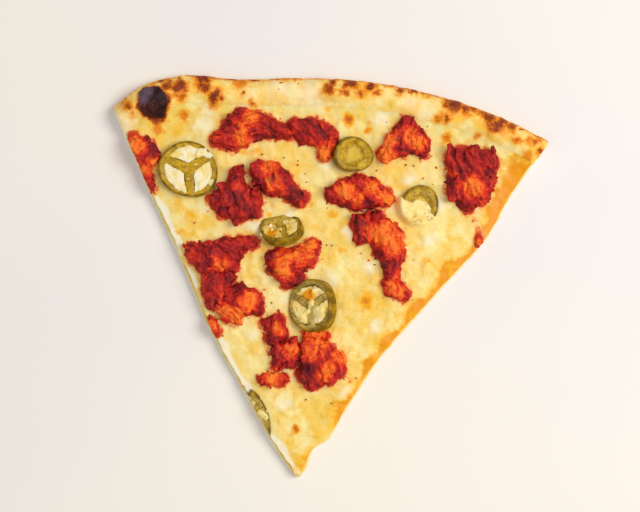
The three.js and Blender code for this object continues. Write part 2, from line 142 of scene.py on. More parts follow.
# Chicken pieces: lobes as x, y, radius, height above the cheese
CHICKEN = {
    "chicken_corner": [
        (-95.5, 58, 5, 5.5), (-90, 55.5, 5.5, 6.5), (-87.2, 52, 3.8, 5.5), (-89.5, 46.5, 3, 4),
        (-87.6, 41, 2.8, 3.6), (-86, 37, 2, 2.6),
    ],
    "chicken_rim_left": [
        (-55.5, 63, 4, 4.2), (-49, 62, 4, 4.2), (-50, 69, 5, 6.8), (-44.5, 75, 5, 7.4),
        (-38, 72.5, 6.2, 8.2), (-43, 66, 4.6, 6), (-31.5, 71, 5.6, 7.8), (-26.5, 69.5, 4.2, 6.4),
        (-22.5, 69, 3.6, 5.4), (-44, 70.5, 5, 7),
    ],
    "chicken_rim_mid": [
        (-18, 72.2, 4.6, 6.8), (-12, 72.6, 5.2, 7.8), (-6, 71.2, 4.8, 7.6), (-0.6, 69.4, 4, 6.6),
        (-14.5, 67, 3.4, 4.8), (-6.5, 67, 4, 6.2),
    ],
    "chicken_rim_drop": [(-3.6, 64.2, 4, 6), (-3.6, 59.8, 3.2, 4.8), (-1, 65.4, 3.8, 6)],
    "chicken_rim_right": [
        (35.6, 79.6, 3.2, 4.8), (33.5, 73, 5.5, 7.2), (40, 72, 5.8, 7.8), (45, 69, 3.8, 6.6),
        (29.5, 69, 4.4, 6.6), (26.5, 62.6, 4.2, 5.6), (34, 66, 4.8, 6.8), (45.2, 63.5, 2.4, 4.4),
    ],
    "chicken_square": [
        (62, 63, 5.6, 7.6), (69.5, 63.5, 6, 8.2), (77, 62.6, 6.2, 7.8), (63, 55, 5.8, 7.8),
        (62, 48, 4.8, 7), (70, 50.5, 6, 9), (76.4, 53, 5, 7.8), (68, 42.6, 5.6, 6.6), (74.8, 45, 4.4, 6),
    ],
    "chicken_left_low": [
        (-45.2, 47.6, 3.8, 5.6), (-45.6, 39.6, 6.2, 8.6), (-37, 35, 5.6, 7.6), (-50, 34.6, 5.6, 7.2),
        (-56, 33.6, 3.2, 4), (-43, 29, 5.6, 7), (-36, 30, 4, 6), (-50.6, 28.6, 3.4, 4),
    ],
    "chicken_left_high": [
        (-34.5, 49, 5, 7), (-28, 49.6, 4.8, 7.4), (-23, 46.6, 4.8, 7.2), (-35, 44.4, 3.4, 5.6),
        (-27.5, 43, 5.4, 8.2), (-19.5, 41.2, 5.2, 7.2), (-14.2, 37.4, 4.2, 5.8),
    ],
    "chicken_middle": [
        (2.6, 40.4, 4.2, 6.2), (8, 43, 5.8, 8.2), (15, 46, 5.8, 8.8), (20.8, 46, 4.8, 8.6),
        (27.4, 41.5, 4.8, 7), (12.6, 38, 5, 7.4), (20.6, 39.6, 4.8, 7.6),
    ],
    "chicken_neck": [
        (15.8, 28, 4.4, 6.4), (24.4, 31.4, 3.6, 6), (17, 21, 3.8, 5.6), (24.5, 24, 6.2, 9),
        (33, 22.6, 5.6, 8.6), (29.6, 15.6, 6, 8.2), (36.4, 14, 3.8, 6.6), (33, 8.6, 4.6, 6.4),
        (34.4, 3.6, 3.8, 5.4),
    ],
    "chicken_neck_foot": [
        (32.8, -1, 3.8, 5.2), (37.4, -3, 4, 4.8), (33.6, -4.8, 3, 4.2), (41, -6, 2.8, 2.8),
    ],
    "chicken_edge_high": [
        (-62.4, 5.6, 4.4, 5.2), (-56, 8, 5.6, 7.2), (-48.5, 10.5, 6, 8.2), (-41.5, 13, 4.4, 6.8),
        (-35.4, 14.6, 2.8, 4), (-50, 3.4, 5.6, 8), (-57.6, 1.8, 4.4, 6.4), (-44.6, 3, 4, 6.6),
        (-64.6, 9, 3.4, 4.8),
    ],
    "chicken_edge_mid": [
        (-54, -4.6, 4.8, 7.2), (-46.4, -3.4, 4.2, 6.2), (-55.4, -10.6, 3.4, 5), (-53, -17, 3, 4.4),
        (-49, -9, 4.6, 6.8), (-50, -14, 3.6, 5.4),
    ],
    "chicken_edge_low": [
        (-40, -10, 4.6, 6.8), (-33.6, -13.6, 4.8, 7.2), (-31, -17.4, 3.8, 5.2), (-40, -16.8, 5.6, 8.2),
        (-46, -17.8, 4.4, 6.6), (-45, -22, 3.2, 4.6), (-44, -12.4, 4, 6.4), (-41, -22.6, 3.6, 5),
    ],
    "chicken_edge_scrap": [(-52.4, -25.4, 2.4, 3.4), (-50.4, -29.4, 2.2, 3)],
    "chicken_centre": [
        (-26.6, 8.4, 2.6, 5), (-25, 2.4, 2.6, 4.6), (-20.4, 8.6, 4.6, 7.6), (-20, 1.6, 4.6, 7.6),
        (-13, 9.2, 5.2, 7.6), (-8, 8, 4, 6.4), (-6.6, 14.6, 3.8, 6), (-14, 2.4, 3.8, 5.6),
        (-17, -2.6, 4.2, 6.2), (-12, -1.4, 3.4, 5), (-16.5, 5, 4.6, 7.6),
    ],
    "chicken_stub": [
        (-21, -24, 4.6, 7), (-19, -29.2, 4.2, 7), (-23, -32, 3.2, 5), (-27.4, -24, 1.9, 2.6),
    ],
    "chicken_tip_left": [
        (-17, -39, 4.4, 6), (-18.4, -43.4, 3.6, 4.6), (-12.4, -41, 4.2, 7), (-12.4, -34.8, 4, 6.6),
        (-20.4, -37.2, 3.4, 5),
    ],
    "chicken_tip_right": [
        (-4, -34, 4.8, 7.8), (3, -36, 5.4, 8.4), (-2.4, -42, 5.6, 9), (6, -42, 5.6, 8),
        (10.4, -39.6, 4, 7), (10.8, -45.4, 3.6, 6), (1, -48.4, 5, 6), (-5.6, -47.8, 4.2, 5.4),
        (7, -48.4, 3.6, 4.6), (-2, -51.6, 3.8, 4.4),
    ],
    "chicken_tip_strip": [
        (-6.4, -28.3, 1.8, 4.4), (-3, -28, 2, 4.6), (0.6, -28, 2, 4.6), (4.2, -28.4, 1.8, 4.4),
    ],
    "chicken_tip_bar": [
        (-25.4, -51.5, 2.8, 4.2), (-22, -51.6, 3, 4.6), (-18.6, -51.2, 3, 4.6), (-15.4, -50.2, 2.8, 4.4),
    ],
    "chicken_right_scrap": [(76.6, 21.8, 2.5, 3.2), (75.4, 24.8, 1.7, 1.8)],
}

# Bright orange and nearly black places on the chicken: x, y, radius
ORANGE = [
    (-41, 76, 3), (-44, 66, 3), (28, 69, 3), (28, 62, 3.4), (38, 73, 3), (42, 69, 2.6), (70, 50, 3.5),
    (-30, 51, 2.6), (-27, 43, 3.4), (8, 43, 3.4), (21, 46, 3.2), (28, 41, 3.6), (25, 24, 4.6), (33, 19, 4.2),
    (30, 25, 3.2), (36, -3, 3), (-50, 3, 2.6), (-53.5, -28.5, 2.6), (-40, -22, 2.6), (-36, -14, 3),
    (-46, -20, 3), (-20, 8, 3.4), (-20, 2, 3.2), (-8, 15, 3), (-10, 9, 3.4), (-20, -27, 2.4), (-3, -37, 3.2),
    (11, -38, 3), (4, -46, 3), (-1, -28, 5), (-20, -51, 3), (-95, 57, 3.4), (-89, 47, 3), (-3.6, 62, 3),
    (-14, -36, 2.6), (14, 39, 2.4), (75, 22, 2),
]
DARK = [
    (-87, 52, 2.4), (-89, 58, 2.6), (-52, 71, 3), (-50, 67, 2.6), (-30, 69, 3), (-44, 80, 1.6), (-8, 73, 2.4),
    (32, 70, 2.6), (35, 66, 2.4), (70, 64, 2), (-46, 36, 3), (-16, 40, 3), (-28, 46, 2.4), (17, 28, 3),
    (18, 20, 3), (30, 8, 3), (-55, -3, 3), (-53, -16, 3.4), (-26, 8, 2.6), (-26, 1, 2.4), (-3, -45, 4.4),
    (62, 58, 3), (77, 55, 3),
]

# Jalapeno slices: place, radius, ovalness, thickness, degrees round, lean, slope of the side, height above
# the cheese, seed chambers
JALAPENOS = {
    "jalapeno_ring": ((-69, 47.6), 14, 0.05, 3.6, -21, (0, 0.07), (0, 0), 1.2, 3),
    "jalapeno_cap": ((10.4, 61), 9.2, 0.07, 6, 0, (0.05, 0.12), (0, 0), 1.8, 0),
    "jalapeno_half": ((45.2, 39.2), 9.4, 0, 3.6, 90, (0.14, 0.16), (0, 0), 1.2, 0),
    "jalapeno_upright": ((-21.8, 22.4), 10.4, 0, 4, 20, (-0.75, -0.15), (1.2, -0.6), 1.2, 2),
    "jalapeno_oval": ((-3.7, -14.2), 11.8, 0.1, 5, 95, (0, -0.36), (1.8, 0), 2.8, 3),
    "jalapeno_cut": ((-34.9, -71.8), 16, 0.16, 3.2, -58, (0.03, -0.05), (0, 0), -1, 2),
}
# How grey the flesh of each slice has baked
MURK = {"jalapeno_oval": 0.85, "jalapeno_upright": 0.35, "jalapeno_half": 0.25, "jalapeno_cut": 0.55}

# Where the knife went through the lowest slice, and how far inside that line the slice ends
KNIFE_LINE = ((-32, -62, 0), (-20, -81, 0))
KNIFE_INSET = 1.2
# The cheese is flat beside that slice
CUT_SLICE_BED = [(-30, -59, 6), (-25.5, -67, 6), (-22.5, -75, 6)]

# The half slice: the round of cheese on it, as x, y, radius, and its grey places
COVER = (45, 35.4, 7)
COVER_MURK = [(51, 34, 4), (44, 31.5, 3), (50, 38.5, 3, 0.8), (39, 40.6, 2.4, 0.7)]

# Chambers that cheese and pith fill: slice, level in the slice, thickness, how far out
FILLED = [
    ("jalapeno_ring", 0.3, 2.8, 1.06), ("jalapeno_oval", 0.2, 4.4, 1.0),
    ("jalapeno_upright", 0.35, 3.4, 1.08), ("jalapeno_cut", -0.4, 2.2, 0.9),
]
# Cheese and pith lying over the faces of the slices: slice, x, y, length, width, turn in degrees
SPILLED = [
    ("jalapeno_ring", -63.4, 56.6, 3.4, 2, 40), ("jalapeno_ring", -60.2, 55.4, 2.6, 1.6, -20),
    ("jalapeno_ring", -57.4, 42.4, 2, 1, 60), ("jalapeno_oval", -4.1, -8.4, 4.6, 1.6, 85),
    ("jalapeno_oval", -4.7, -14.6, 4.6, 2, 95), ("jalapeno_oval", -10.2, -17.6, 3.8, 2.8, -30),
    ("jalapeno_oval", -6.8, -18.8, 3.2, 2, 60), ("jalapeno_oval", -1.2, -16.4, 3.8, 1.8, 20),
    ("jalapeno_oval", 0.2, -18.4, 2.6, 1.8, 70), ("jalapeno_upright", -22.7, 20.8, 2.6, 1.8, 70),
    ("jalapeno_upright", -30.6, 18.6, 1.6, 1.1, 0), ("jalapeno_cut", -24.6, -68.6, 3.4, 1.8, -40),
]
# Golden, grey and red places of that filling: x, y, radius, strength
FILLING_GOLD = [(-7.4, -10.1, 3.4), (-27.3, 18.8, 3.2)]
FILLING_MURK = [(-21, 21, 10, 0.85), (-5, -14, 11, 0.5), (-27, -67, 14, 0.9)]
FILLING_RED = [(-2.6, -7.4, 2)]
# Flat seeds: slice, how far out as a share of the radius, angles, height above the slice's middle
SEEDS = [
    ("jalapeno_oval", 0.42, (0.3, 2.2, 4.0, 4.6), 1.4), ("jalapeno_upright", 0.45, (0.4, 2.8, 3.5), 1.6),
    ("jalapeno_ring", 0.3, (1.2, 5.0), 1.3),
]

# Crumbs and herb flecks that lie alone, and how many there are in all
CRUMBS = 420
FLECKS = 40
STRAY = [
    (37, 58), (44, 60), (41, 58), (18, 13), (22, 10), (25, 8), (68, 36), (72, 33), (14, -49), (20, -48),
    (17, -50), (-28, -8), (-24, -14), (46, 52), (48, 30), (52, 58), (-58, 28), (-64, 22), (-33.6, 57.8),
    (-12, 50), (-16, 54), (0, 34), (40, -10),
]
HERBS = [
    (26, 78), (-28, 90), (-40, 82), (-45, 87), (-11, 46), (1, 16), (3.5, 16), (-16, 56), (-23, 57), (6, 50),
    (35.5, -19.5), (8.5, -61), (-9, -58.5), (-4, -60),
]


# Curves, fields and surfaces

def smooth(t):
    """A soft step: 0 up to 0, 1 from 1 on."""
    c = np.clip(t, 0, 1)
    return c * c * (3 - 2 * c)


def grain(points, size, seed=0):
    """Smooth noise from -1 to 1 at each point, with lumps of about that size."""
    q = np.asarray(points, float) / size
    if q.shape[1] == 2:
        q = np.column_stack([q, np.full(len(q), 0.37)])
    low = np.floor(q).astype(np.int64)
    part = q - low
    part = part * part * (3 - 2 * part)
    total = np.zeros(len(q))
    for corner in range(8):
        pick = np.array([(corner >> k) & 1 for k in range(3)])
        weight = np.prod(np.where(pick, part, 1 - part), axis=1)
        cell = low + pick
        h = (cell * [374761393, 668265263, 1442695041]).sum(1) + seed * 974634777
        h &= 0xFFFFFFFF
        h = ((h ^ (h >> 13)) * 1274126177) & 0xFFFFFFFF
        h = ((h ^ (h >> 15)) * 2246822519) & 0xFFFFFFFF
        total += weight * ((h ^ (h >> 16)) & 0xFFFF) / 65535
    return total * 2 - 1


def curve_table(points, steps=60):
    """Evenly spaced points on the rounded curve through these."""
    p = np.array(points, float)
    p = np.vstack([2 * p[0] - p[1], p, 2 * p[-1] - p[-2]])
    rows = []
    for i in range(1, len(p) - 2):
        a, b, c, d = p[i - 1 : i + 3]
        da, db, dc = [max(math.dist(m, n) ** 0.5, 1e-4) for m, n in ((a, b), (b, c), (c, d))]
        start = ((b - a) / da - (c - a) / (da + db) + (c - b) / db) * db
        end = ((c - b) / db - (d - b) / (db + dc) + (d - c) / dc) * db
        t = np.linspace(0, 1, steps, endpoint=False)[:, None]
        square, cube = 3 * (c - b) - 2 * start - end, 2 * (b - c) + start + end
        rows.append(b + start * t + square * t**2 + cube * t**3)
    rows.append(p[-2:-1])
    fine = np.vstack(rows)
    along = np.concatenate([[0], np.cumsum(np.linalg.norm(np.diff(fine, axis=0), axis=1))])
    even = np.linspace(0, along[-1], 401)
    return np.column_stack([np.interp(even, along, fine[:, k]) for k in (0, 1)])


LEFT, RIGHT, TOP = curve_table(LEFT_CUT), curve_table(RIGHT_CUT), curve_table(RIM)


def on_curve(table, t):
    """The places along a curve, from 0 at its start to 1 at its end."""
    return np.column_stack([np.interp(t, np.linspace(0, 1, len(table)), table[:, k]) for k in (0, 1)])


def from_curve(table, xy):
    """Distance of each point from a curve."""
    best = np.full(len(xy), FARTHEST)
    for spot in table[::2]:
        best = np.minimum(best, (xy[:, 0] - spot[0]) ** 2 + (xy[:, 1] - spot[1]) ** 2)
    return np.sqrt(best)


def slice_spot(u, v):
    """Place in the outline: u from the left cut to the right, v from the tip to the rim."""
    u, v = u[:, None], v[:, None]
    low, high = LEFT[0] * (1 - u) + RIGHT[0] * u, on_curve(TOP, u[:, 0])
    sides = (1 - u) * on_curve(LEFT, v[:, 0]) + u * on_curve(RIGHT, v[:, 0])
    corners = (1 - u) * ((1 - v) * LEFT[0] + v * TOP[0]) + u * ((1 - v) * RIGHT[0] + v * TOP[-1])
    return (1 - v) * low + v * high + sides - corners


def cheese_spot(u, v):
    """Place in the cheese's outline, which is drawn in from the cuts and the rim."""
    width = np.linalg.norm(on_curve(LEFT, v) - on_curve(RIGHT, v), axis=1)
    slant = math.cos(0.5)
    start = np.minimum(LEFT_INSET / slant / width, 0.3)
    end = 1 - np.minimum(RIGHT_INSET / slant / width, 0.2)
    border = CHEESE_BORDER - 1 + 1.6 * np.sin(19 * u) * np.sin(math.pi * u)
    return slice_spot(start + u * (end - start), 0.006 + v * (1 - border / (2 * HALF_LENGTH - 6) - 0.006))


class Relief:
    """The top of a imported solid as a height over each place, with its facets smoothed away."""

    def __init__(self, node, soften):
        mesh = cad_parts[node].data
        corners = [v.co / MM for v in mesh.vertices]
        tree = BVHTree.FromPolygons(corners, [list(p.vertices) for p in mesh.polygons])
        self.x = np.arange(-112.0, 113.0)
        self.y = np.arange(-102.0, 103.0)
        rows = []
        for y in self.y:
            hits = [tree.ray_cast(Vector((x, y, 60)), Vector((0, 0, -1)))[0] for x in self.x]
            rows.append([hit.z if hit else np.nan for hit in hits])
        z = np.array(rows)
        while np.isnan(z).any():
            z = self.spread(z)
        for _ in range(soften):
            wide = np.pad(z, 1, mode="edge")
            z = (wide[:-2, 1:-1] + wide[2:, 1:-1] + wide[1:-1, :-2] + wide[1:-1, 2:] + 2 * z) / 6
        self.z = z

    @staticmethod
    def spread(z):
        """Fills each empty place from its known neighbours."""
        wide = np.pad(z, 1, constant_values=np.nan)
        near = np.stack([wide[:-2, 1:-1], wide[2:, 1:-1], wide[1:-1, :-2], wide[1:-1, 2:]])
        known = ~np.isnan(near)
        mean = np.where(known, near, 0).sum(0) / np.maximum(known.sum(0), 1)
        return np.where(np.isnan(z) & known.any(0), mean, z)

    def at(self, xy):
        fx = np.clip(xy[:, 0] - self.x[0], 0, len(self.x) - 1.001)
        fy = np.clip(xy[:, 1] - self.y[0], 0, len(self.y) - 1.001)
        i, j = fx.astype(int), fy.astype(int)
        a, b = fx - i, fy - j
        low = self.z[j, i] * (1 - a) + self.z[j, i + 1] * a
        high = self.z[j + 1, i] * (1 - a) + self.z[j + 1, i + 1] * a
        return low * (1 - b) + high * b


dough_top = Relief("crust", 6)
cheese_top = Relief("cheese", 8)


def far_from(xy, x, y):
    """Distance of each point from one place."""
    return np.hypot(xy[:, 0] - x, xy[:, 1] - y)


def marks(xy, spots, edge=0.6, uneven=1.0):
    """How strongly each point lies in a list of round marks, with uneven edges."""
    ragged = uneven * (0.8 * grain(xy, 2.6, 5) + 0.5 * grain(xy, 1.2, 6))
    total = np.zeros(len(xy))
    xy = xy + 1.3 * uneven * np.column_stack([grain(xy, 3.6, 73), grain(xy, 3.6, 74)])
    for x, y, radius, *strength in spots:
        out = (far_from(xy, x, y) + ragged * min(radius * 0.6, 1.8)) / radius
        share = smooth((1 + edge - out) / (2 * edge))
        total = np.maximum(total, (strength[0] if strength else 1) * share)
    return total


LOBES = np.array([lobe for lobes in CHICKEN.values() for lobe in lobes])


def from_chicken(xy):
    """Distance of each point from the nearest chicken, negative under it."""
    best = np.full(len(xy), FARTHEST)
    for x, y, radius, _ in LOBES:
        best = np.minimum(best, far_from(xy, x, y) - radius)
    return best


# Modelling helpers

def deselect():
    bpy.ops.object.select_all(action="DESELECT")


def added(add, **settings):
    """Adds a primitive, with nothing else selected, and returns it."""
    deselect()
    add(**settings)
    return bpy.context.object


def select_only(piece):
    deselect()
    piece.select_set(True)
    bpy.context.view_layer.objects.active = piece


def spots_of(piece):
    """The places of the piece's vertices, in mm."""
    out = np.empty(len(piece.data.vertices) * 3)
    piece.data.vertices.foreach_get("co", out)
    return out.reshape(-1, 3) / MM


def move_spots(piece, xyz):
    piece.data.vertices.foreach_set("co", (xyz * MM).ravel())
    piece.data.update()


def normals_of(piece):
    out = np.empty(len(piece.data.vertices) * 3)
    piece.data.vertices.foreach_get("normal", out)
    return out.reshape(-1, 3)


def mark(piece, name, values):
    """Stores a number at each vertex for the finish to read."""
    layer = piece.data.attributes.new(name, "FLOAT", "POINT")
    layer.data.foreach_set("value", np.clip(values, 0, 1).astype(np.float32))


def modify(piece, kind, **settings):
    """Adds a modifier and applies it."""
    select_only(piece)
    modifier = piece.modifiers.new(kind.title(), kind)
    for name, value in settings.items():
        setattr(modifier, name, value)
    bpy.ops.object.modifier_apply(modifier=modifier.name)


def skinned(piece, voxel, factor, rounds):
    """Joins the piece's shapes into one closed skin and smooths it."""
    modify(piece, "REMESH", mode="VOXEL", voxel_size=voxel * MM)
    modify(piece, "SMOOTH", factor=factor, iterations=rounds)


def roughened(piece, *layers):
    """Pushes the surface in and out by layers of noise, given as height, size and seed."""
    xyz = spots_of(piece)
    push = sum(height * grain(xyz, size, seed) for height, size, seed in layers)
    move_spots(piece, xyz + normals_of(piece) * push[:, None])


def start_piece():
    """An empty piece in edit mode, to which shapes are then added."""
    piece = added(bpy.ops.mesh.primitive_cube_add, size=MM)
    bpy.ops.object.mode_set(mode="EDIT")
    bpy.ops.mesh.select_all(action="SELECT")
    bpy.ops.mesh.delete(type="VERT")
    return piece


def add_ball(place, size, turn=(0, 0, 0), fineness=3):
    """Adds a ball, stretched to a size in mm, to the piece in edit mode, or else as a piece of its own."""
    bpy.ops.mesh.primitive_ico_sphere_add(
        subdivisions=fineness, radius=MM, location=[c * MM for c in place], rotation=turn, scale=size,
    )


def evened(values, edges, count, rounds):
    """Values averaged with their neighbours' along the edges, again and again."""
    degree = np.bincount(edges.ravel(), minlength=count)[:, None]
    for _ in range(rounds):
        total = np.zeros_like(values)
        for k in range(values.shape[1]):
            total[:, k] = np.bincount(edges[:, 0], values[edges[:, 1], k], count)
            total[:, k] += np.bincount(edges[:, 1], values[edges[:, 0], k], count)
        values = total / degree
    return values


def ridges(piece, rounds):
    """How far each vertex stands proud of its surroundings, in mm."""
    xyz = spots_of(piece)
    edges = np.empty(len(piece.data.edges) * 2, np.int64)
    piece.data.edges.foreach_get("vertices", edges)
    return ((xyz - evened(xyz, edges.reshape(-1, 2), len(xyz), rounds)) * normals_of(piece)).sum(1)


def finish_piece(piece, name, material, slot, *nodes):
    """Names a finished piece, gives it its finish, and puts it in the place of its solids."""
    piece.name = name
    piece.data.name = name
    piece.data.materials.clear()
    piece.data.materials.append(material)
    select_only(piece)
    bpy.ops.object.shade_smooth()
    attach(piece, "root")
    if nodes:
        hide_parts(*nodes)


def sheet_body(columns, rows, coarse, place, top, bottom):
    """A closed body from a fine grid over a coarse one, joined all round their edges."""
    grid = bpy.ops.mesh.primitive_grid_add
    upper = added(grid, x_subdivisions=columns, y_subdivisions=rows, size=1)
    lower = added(grid, x_subdivisions=coarse, y_subdivisions=coarse, size=1)
    for piece, height in ((upper, top), (lower, bottom)):
        uv = np.clip(spots_of(piece)[:, :2] * MM + 0.5, 0, 1)
        xy = place(uv[:, 0], uv[:, 1])
        move_spots(piece, np.column_stack([xy, height(xy)]))
    select_only(lower)
    bpy.ops.object.mode_set(mode="EDIT")
    bpy.ops.mesh.select_all(action="SELECT")
    bpy.ops.mesh.flip_normals()
    bpy.ops.object.mode_set(mode="OBJECT")
    upper.select_set(True)
    bpy.context.view_layer.objects.active = upper
    bpy.ops.object.join()
    bpy.ops.object.mode_set(mode="EDIT")
    bpy.ops.mesh.select_all(action="DESELECT")
    bpy.ops.mesh.select_non_manifold(extend=False, use_boundary=True)
    bpy.ops.mesh.bridge_edge_loops()
    bpy.ops.mesh.select_all(action="SELECT")
    bpy.ops.mesh.normals_make_consistent(inside=False)
    bpy.ops.object.mode_set(mode="OBJECT")
    return upper


# Finishes

class Wire:
    """A node's output, so that maths on it reads as an expression."""

    def __init__(self, finish, socket):
        self.finish = finish
        self.socket = socket

    def math(self, operation, other):
        return self.finish.node("ShaderNodeMath", {"operation": operation}, {0: self, 1: other})

    def __add__(self, other):
        return self.math("ADD", other)

    def __sub__(self, other):
        return self.math("SUBTRACT", other)

    def __rsub__(self, other):
        return (self * -1) + other

    def __mul__(self, other):
        return self.math("MULTIPLY", other)

    __radd__ = __add__
    __rmul__ = __mul__

    def rise(self, low, high):
        """0 below low, 1 above high and a soft step between."""
        settings = {"interpolation_type": "SMOOTHSTEP"}
        values = {"Value": self, "From Min": low, "From Max": high}
        return self.finish.node("ShaderNodeMapRange", settings, values)


class Finish:
    """A material whose nodes are built from expressions."""

    def __init__(self, name):
        self.material = bpy.data.materials.new(name)
        self.material.use_nodes = True
        self.tree = self.material.node_tree
        self.shader = self.tree.nodes["Principled BSDF"]
        self.place = self.node("ShaderNodeTexCoord", {}, {}, "Object")

    def plug(self, socket, value):
        """Links a wire to a socket, or sets the socket's own value."""
        if isinstance(value, Wire):
            self.tree.links.new(value.socket, socket)
        else:
            socket.default_value = value

    def node(self, kind, settings, values, output=0):
        """Any node: its settings first, then what its sockets take."""
        made = self.tree.nodes.new(kind)
        for name, value in settings.items():
            setattr(made, name, value)
        for name, value in values.items():
            self.plug(made.inputs[name], value)
        return Wire(self, made.outputs[output])

    def field(self, name):
        """A number that was marked on the mesh."""
        return self.node("ShaderNodeAttribute", {"attribute_name": name}, {}, "Fac")

    def cloud(self, size, detail=4.0, rough=0.55, warp=0.0):
        """Noise from 0 to 1 with lumps of about that many millimetres."""
        values = {
            "Vector": self.place, "Scale": 1 / (size * MM), "Detail": detail, "Roughness": rough,
            "Distortion": warp,
        }
        return self.node("ShaderNodeTexNoise", {}, values)

    def mix(self, first, second, amount):
        settings = {"data_type": "RGBA"}
        return self.node("ShaderNodeMix", settings, {0: amount, 6: first, 7: second}, 2)

    def bump(self, height, depth, strength=1.0):
        values = {"Height": height, "Distance": depth * MM, "Strength": strength}
        return self.node("ShaderNodeBump", {}, values)

    def done(self, **sockets):
        """Plugs the shader's sockets, named with _ for a space."""
        for name, value in sockets.items():
            self.plug(self.shader.inputs[name.replace("_", " ")], value)
        return self.material


def tint(red, green, blue):
    """A screen colour, 0 to 255, as the shader's linear colour."""
    parts = [c / 255 for c in (red, green, blue)]
    return (*[c / 12.92 if c <= 0.04045 else ((c + 0.055) / 1.055) ** 2.4 for c in parts], 1)


def browned(f, base, fine, broad):
    """Golden, brown and burnt places of the bake, the same on dough and cheese so that they run together,
    with a painted grey-purple highlight over the char.
    """
    speckle = f.cloud(0.9, 4, 0.7)
    gold = (f.field("gold") + (broad - 0.5) * 0.6 + (fine - 0.5) * 0.5).rise(0.1, 1.0)
    base = f.mix(base, f.mix(tint(252, 194, 54), tint(234, 134, 4), gold.rise(0.5, 1.0)), gold)
    brown = f.field("brown") + (fine - 0.5) * 0.5 + (speckle - 0.5) * 1.0
    shade = f.mix(tint(236, 138, 0), tint(146, 52, 0), brown.rise(0.36, 0.84))
    shade = f.mix(shade, tint(80, 20, 8), (brown + (broad - 0.5) * 0.5).rise(0.78, 1.2))
    base = f.mix(base, shade, brown.rise(0.1, 0.5))
    char = (f.field("char") + (fine - 0.5) * 0.5 + (speckle - 0.5) * 0.3).rise(0.25, 0.8)
    cinder = (speckle + (broad - 0.5) * 0.5).rise(0.46, 0.72)
    coal = f.mix(tint(26, 6, 8), tint(120, 42, 14), cinder)
    # Painted highlight: a grey-purple sheen mixed over the black of the char
    painted_sheen = (f.field("painted_sheen") + (speckle - 0.5) * 0.9).rise(0.25, 1.1)
    coal = f.mix(coal, tint(122, 98, 120), painted_sheen * 0.65)
    return f.mix(base, coal, char), brown, char


def dough_finish():
    f = Finish("baked_dough")
    fine = f.cloud(1.4, 5, 0.6)
    broad = f.cloud(9, 4, 0.55)
    base = f.mix(tint(253, 232, 160), tint(250, 204, 86), broad.rise(0.38, 0.66))
    base = f.mix(base, tint(252, 232, 200), f.field("floury") * 0.85)
    crumb = f.mix(tint(254, 249, 238), tint(246, 226, 190), f.cloud(1.0, 4, 0.6).rise(0.4, 0.75))
    base = f.mix(base, crumb, f.field("crumb"))
    under = f.mix(tint(232, 190, 124), tint(164, 96, 40), f.cloud(7, 5, 0.65).rise(0.45, 0.66))
    base = f.mix(base, under, f.field("under"))
    base, brown, char = browned(f, base, fine, broad)
    relief = f.bump(fine + f.cloud(0.5, 3, 0.6) * 0.5, 0.35, 0.6)
    return f.done(
        Base_Color=base, Roughness=(0.62 - 0.15 * brown) + fine * 0.1, Normal=relief,
        Specular_IOR_Level=0.25, Subsurface_Weight=0.2, Subsurface_Radius=(0.004, 0.0025, 0.0015),
        Subsurface_Scale=0.7,
    )


def cheese_finish():
    f = Finish("melted_cheese")
    fine = f.cloud(1.1, 5, 0.6, 0.4)
    lumps = f.cloud(6.5, 4, 0.5, 0.4)
    broad = f.cloud(19, 3, 0.5)
    yellow = (lumps * 0.42 + broad * 0.36 + fine * 0.22).rise(0.36, 0.64)
    base = f.mix(tint(251, 232, 162), tint(248, 202, 80), yellow)
    cream = (f.field("cream") + (lumps - 0.5) * 0.9 + (fine - 0.5) * 0.5).rise(0.3, 0.9)
    base = f.mix(base, tint(254, 243, 216), cream * 0.85)
    oil = (f.field("oil") + (lumps - 0.5) * 0.9 + (fine - 0.5) * 0.5).rise(0.12, 0.82)
    base = f.mix(base, f.mix(tint(248, 186, 0), tint(236, 152, 0), oil.rise(0.6, 1.0)), oil)
    sauce = (f.field("sauce") + (fine - 0.5) * 0.7 + (lumps - 0.5) * 0.4).rise(0.15, 1.0)
    stain = f.mix(tint(250, 166, 84), tint(206, 64, 28), sauce.rise(0.5, 1.0))
    base = f.mix(base, stain, sauce.rise(0.0, 0.8))
    grit = (f.cloud(1.5, 4, 0.7) - 0.5) * 2.8 + 0.7
    base = f.mix(base, tint(140, 118, 40), (f.field("grey") * grit).rise(0.3, 1.0) * 0.75)
    toast = f.field("toast") + (fine - 0.5) * 0.5
    toasted = f.mix(tint(250, 178, 24), tint(204, 90, 0), toast.rise(0.5, 1.05))
    base = f.mix(base, toasted, toast.rise(0.1, 0.6))
    base, brown, char = browned(f, base, fine, broad)
    relief = f.bump(fine * 0.7 + f.cloud(0.45, 3, 0.5) * 0.3, 0.3, 0.5)
    return f.done(
        Base_Color=base, Roughness=(0.42 - 0.12 * oil) + fine * 0.12, Normal=relief,
        Specular_IOR_Level=0.22, Subsurface_Weight=0.3, Subsurface_Radius=(0.005, 0.0035, 0.0015),
        Subsurface_Scale=0.8,
    )


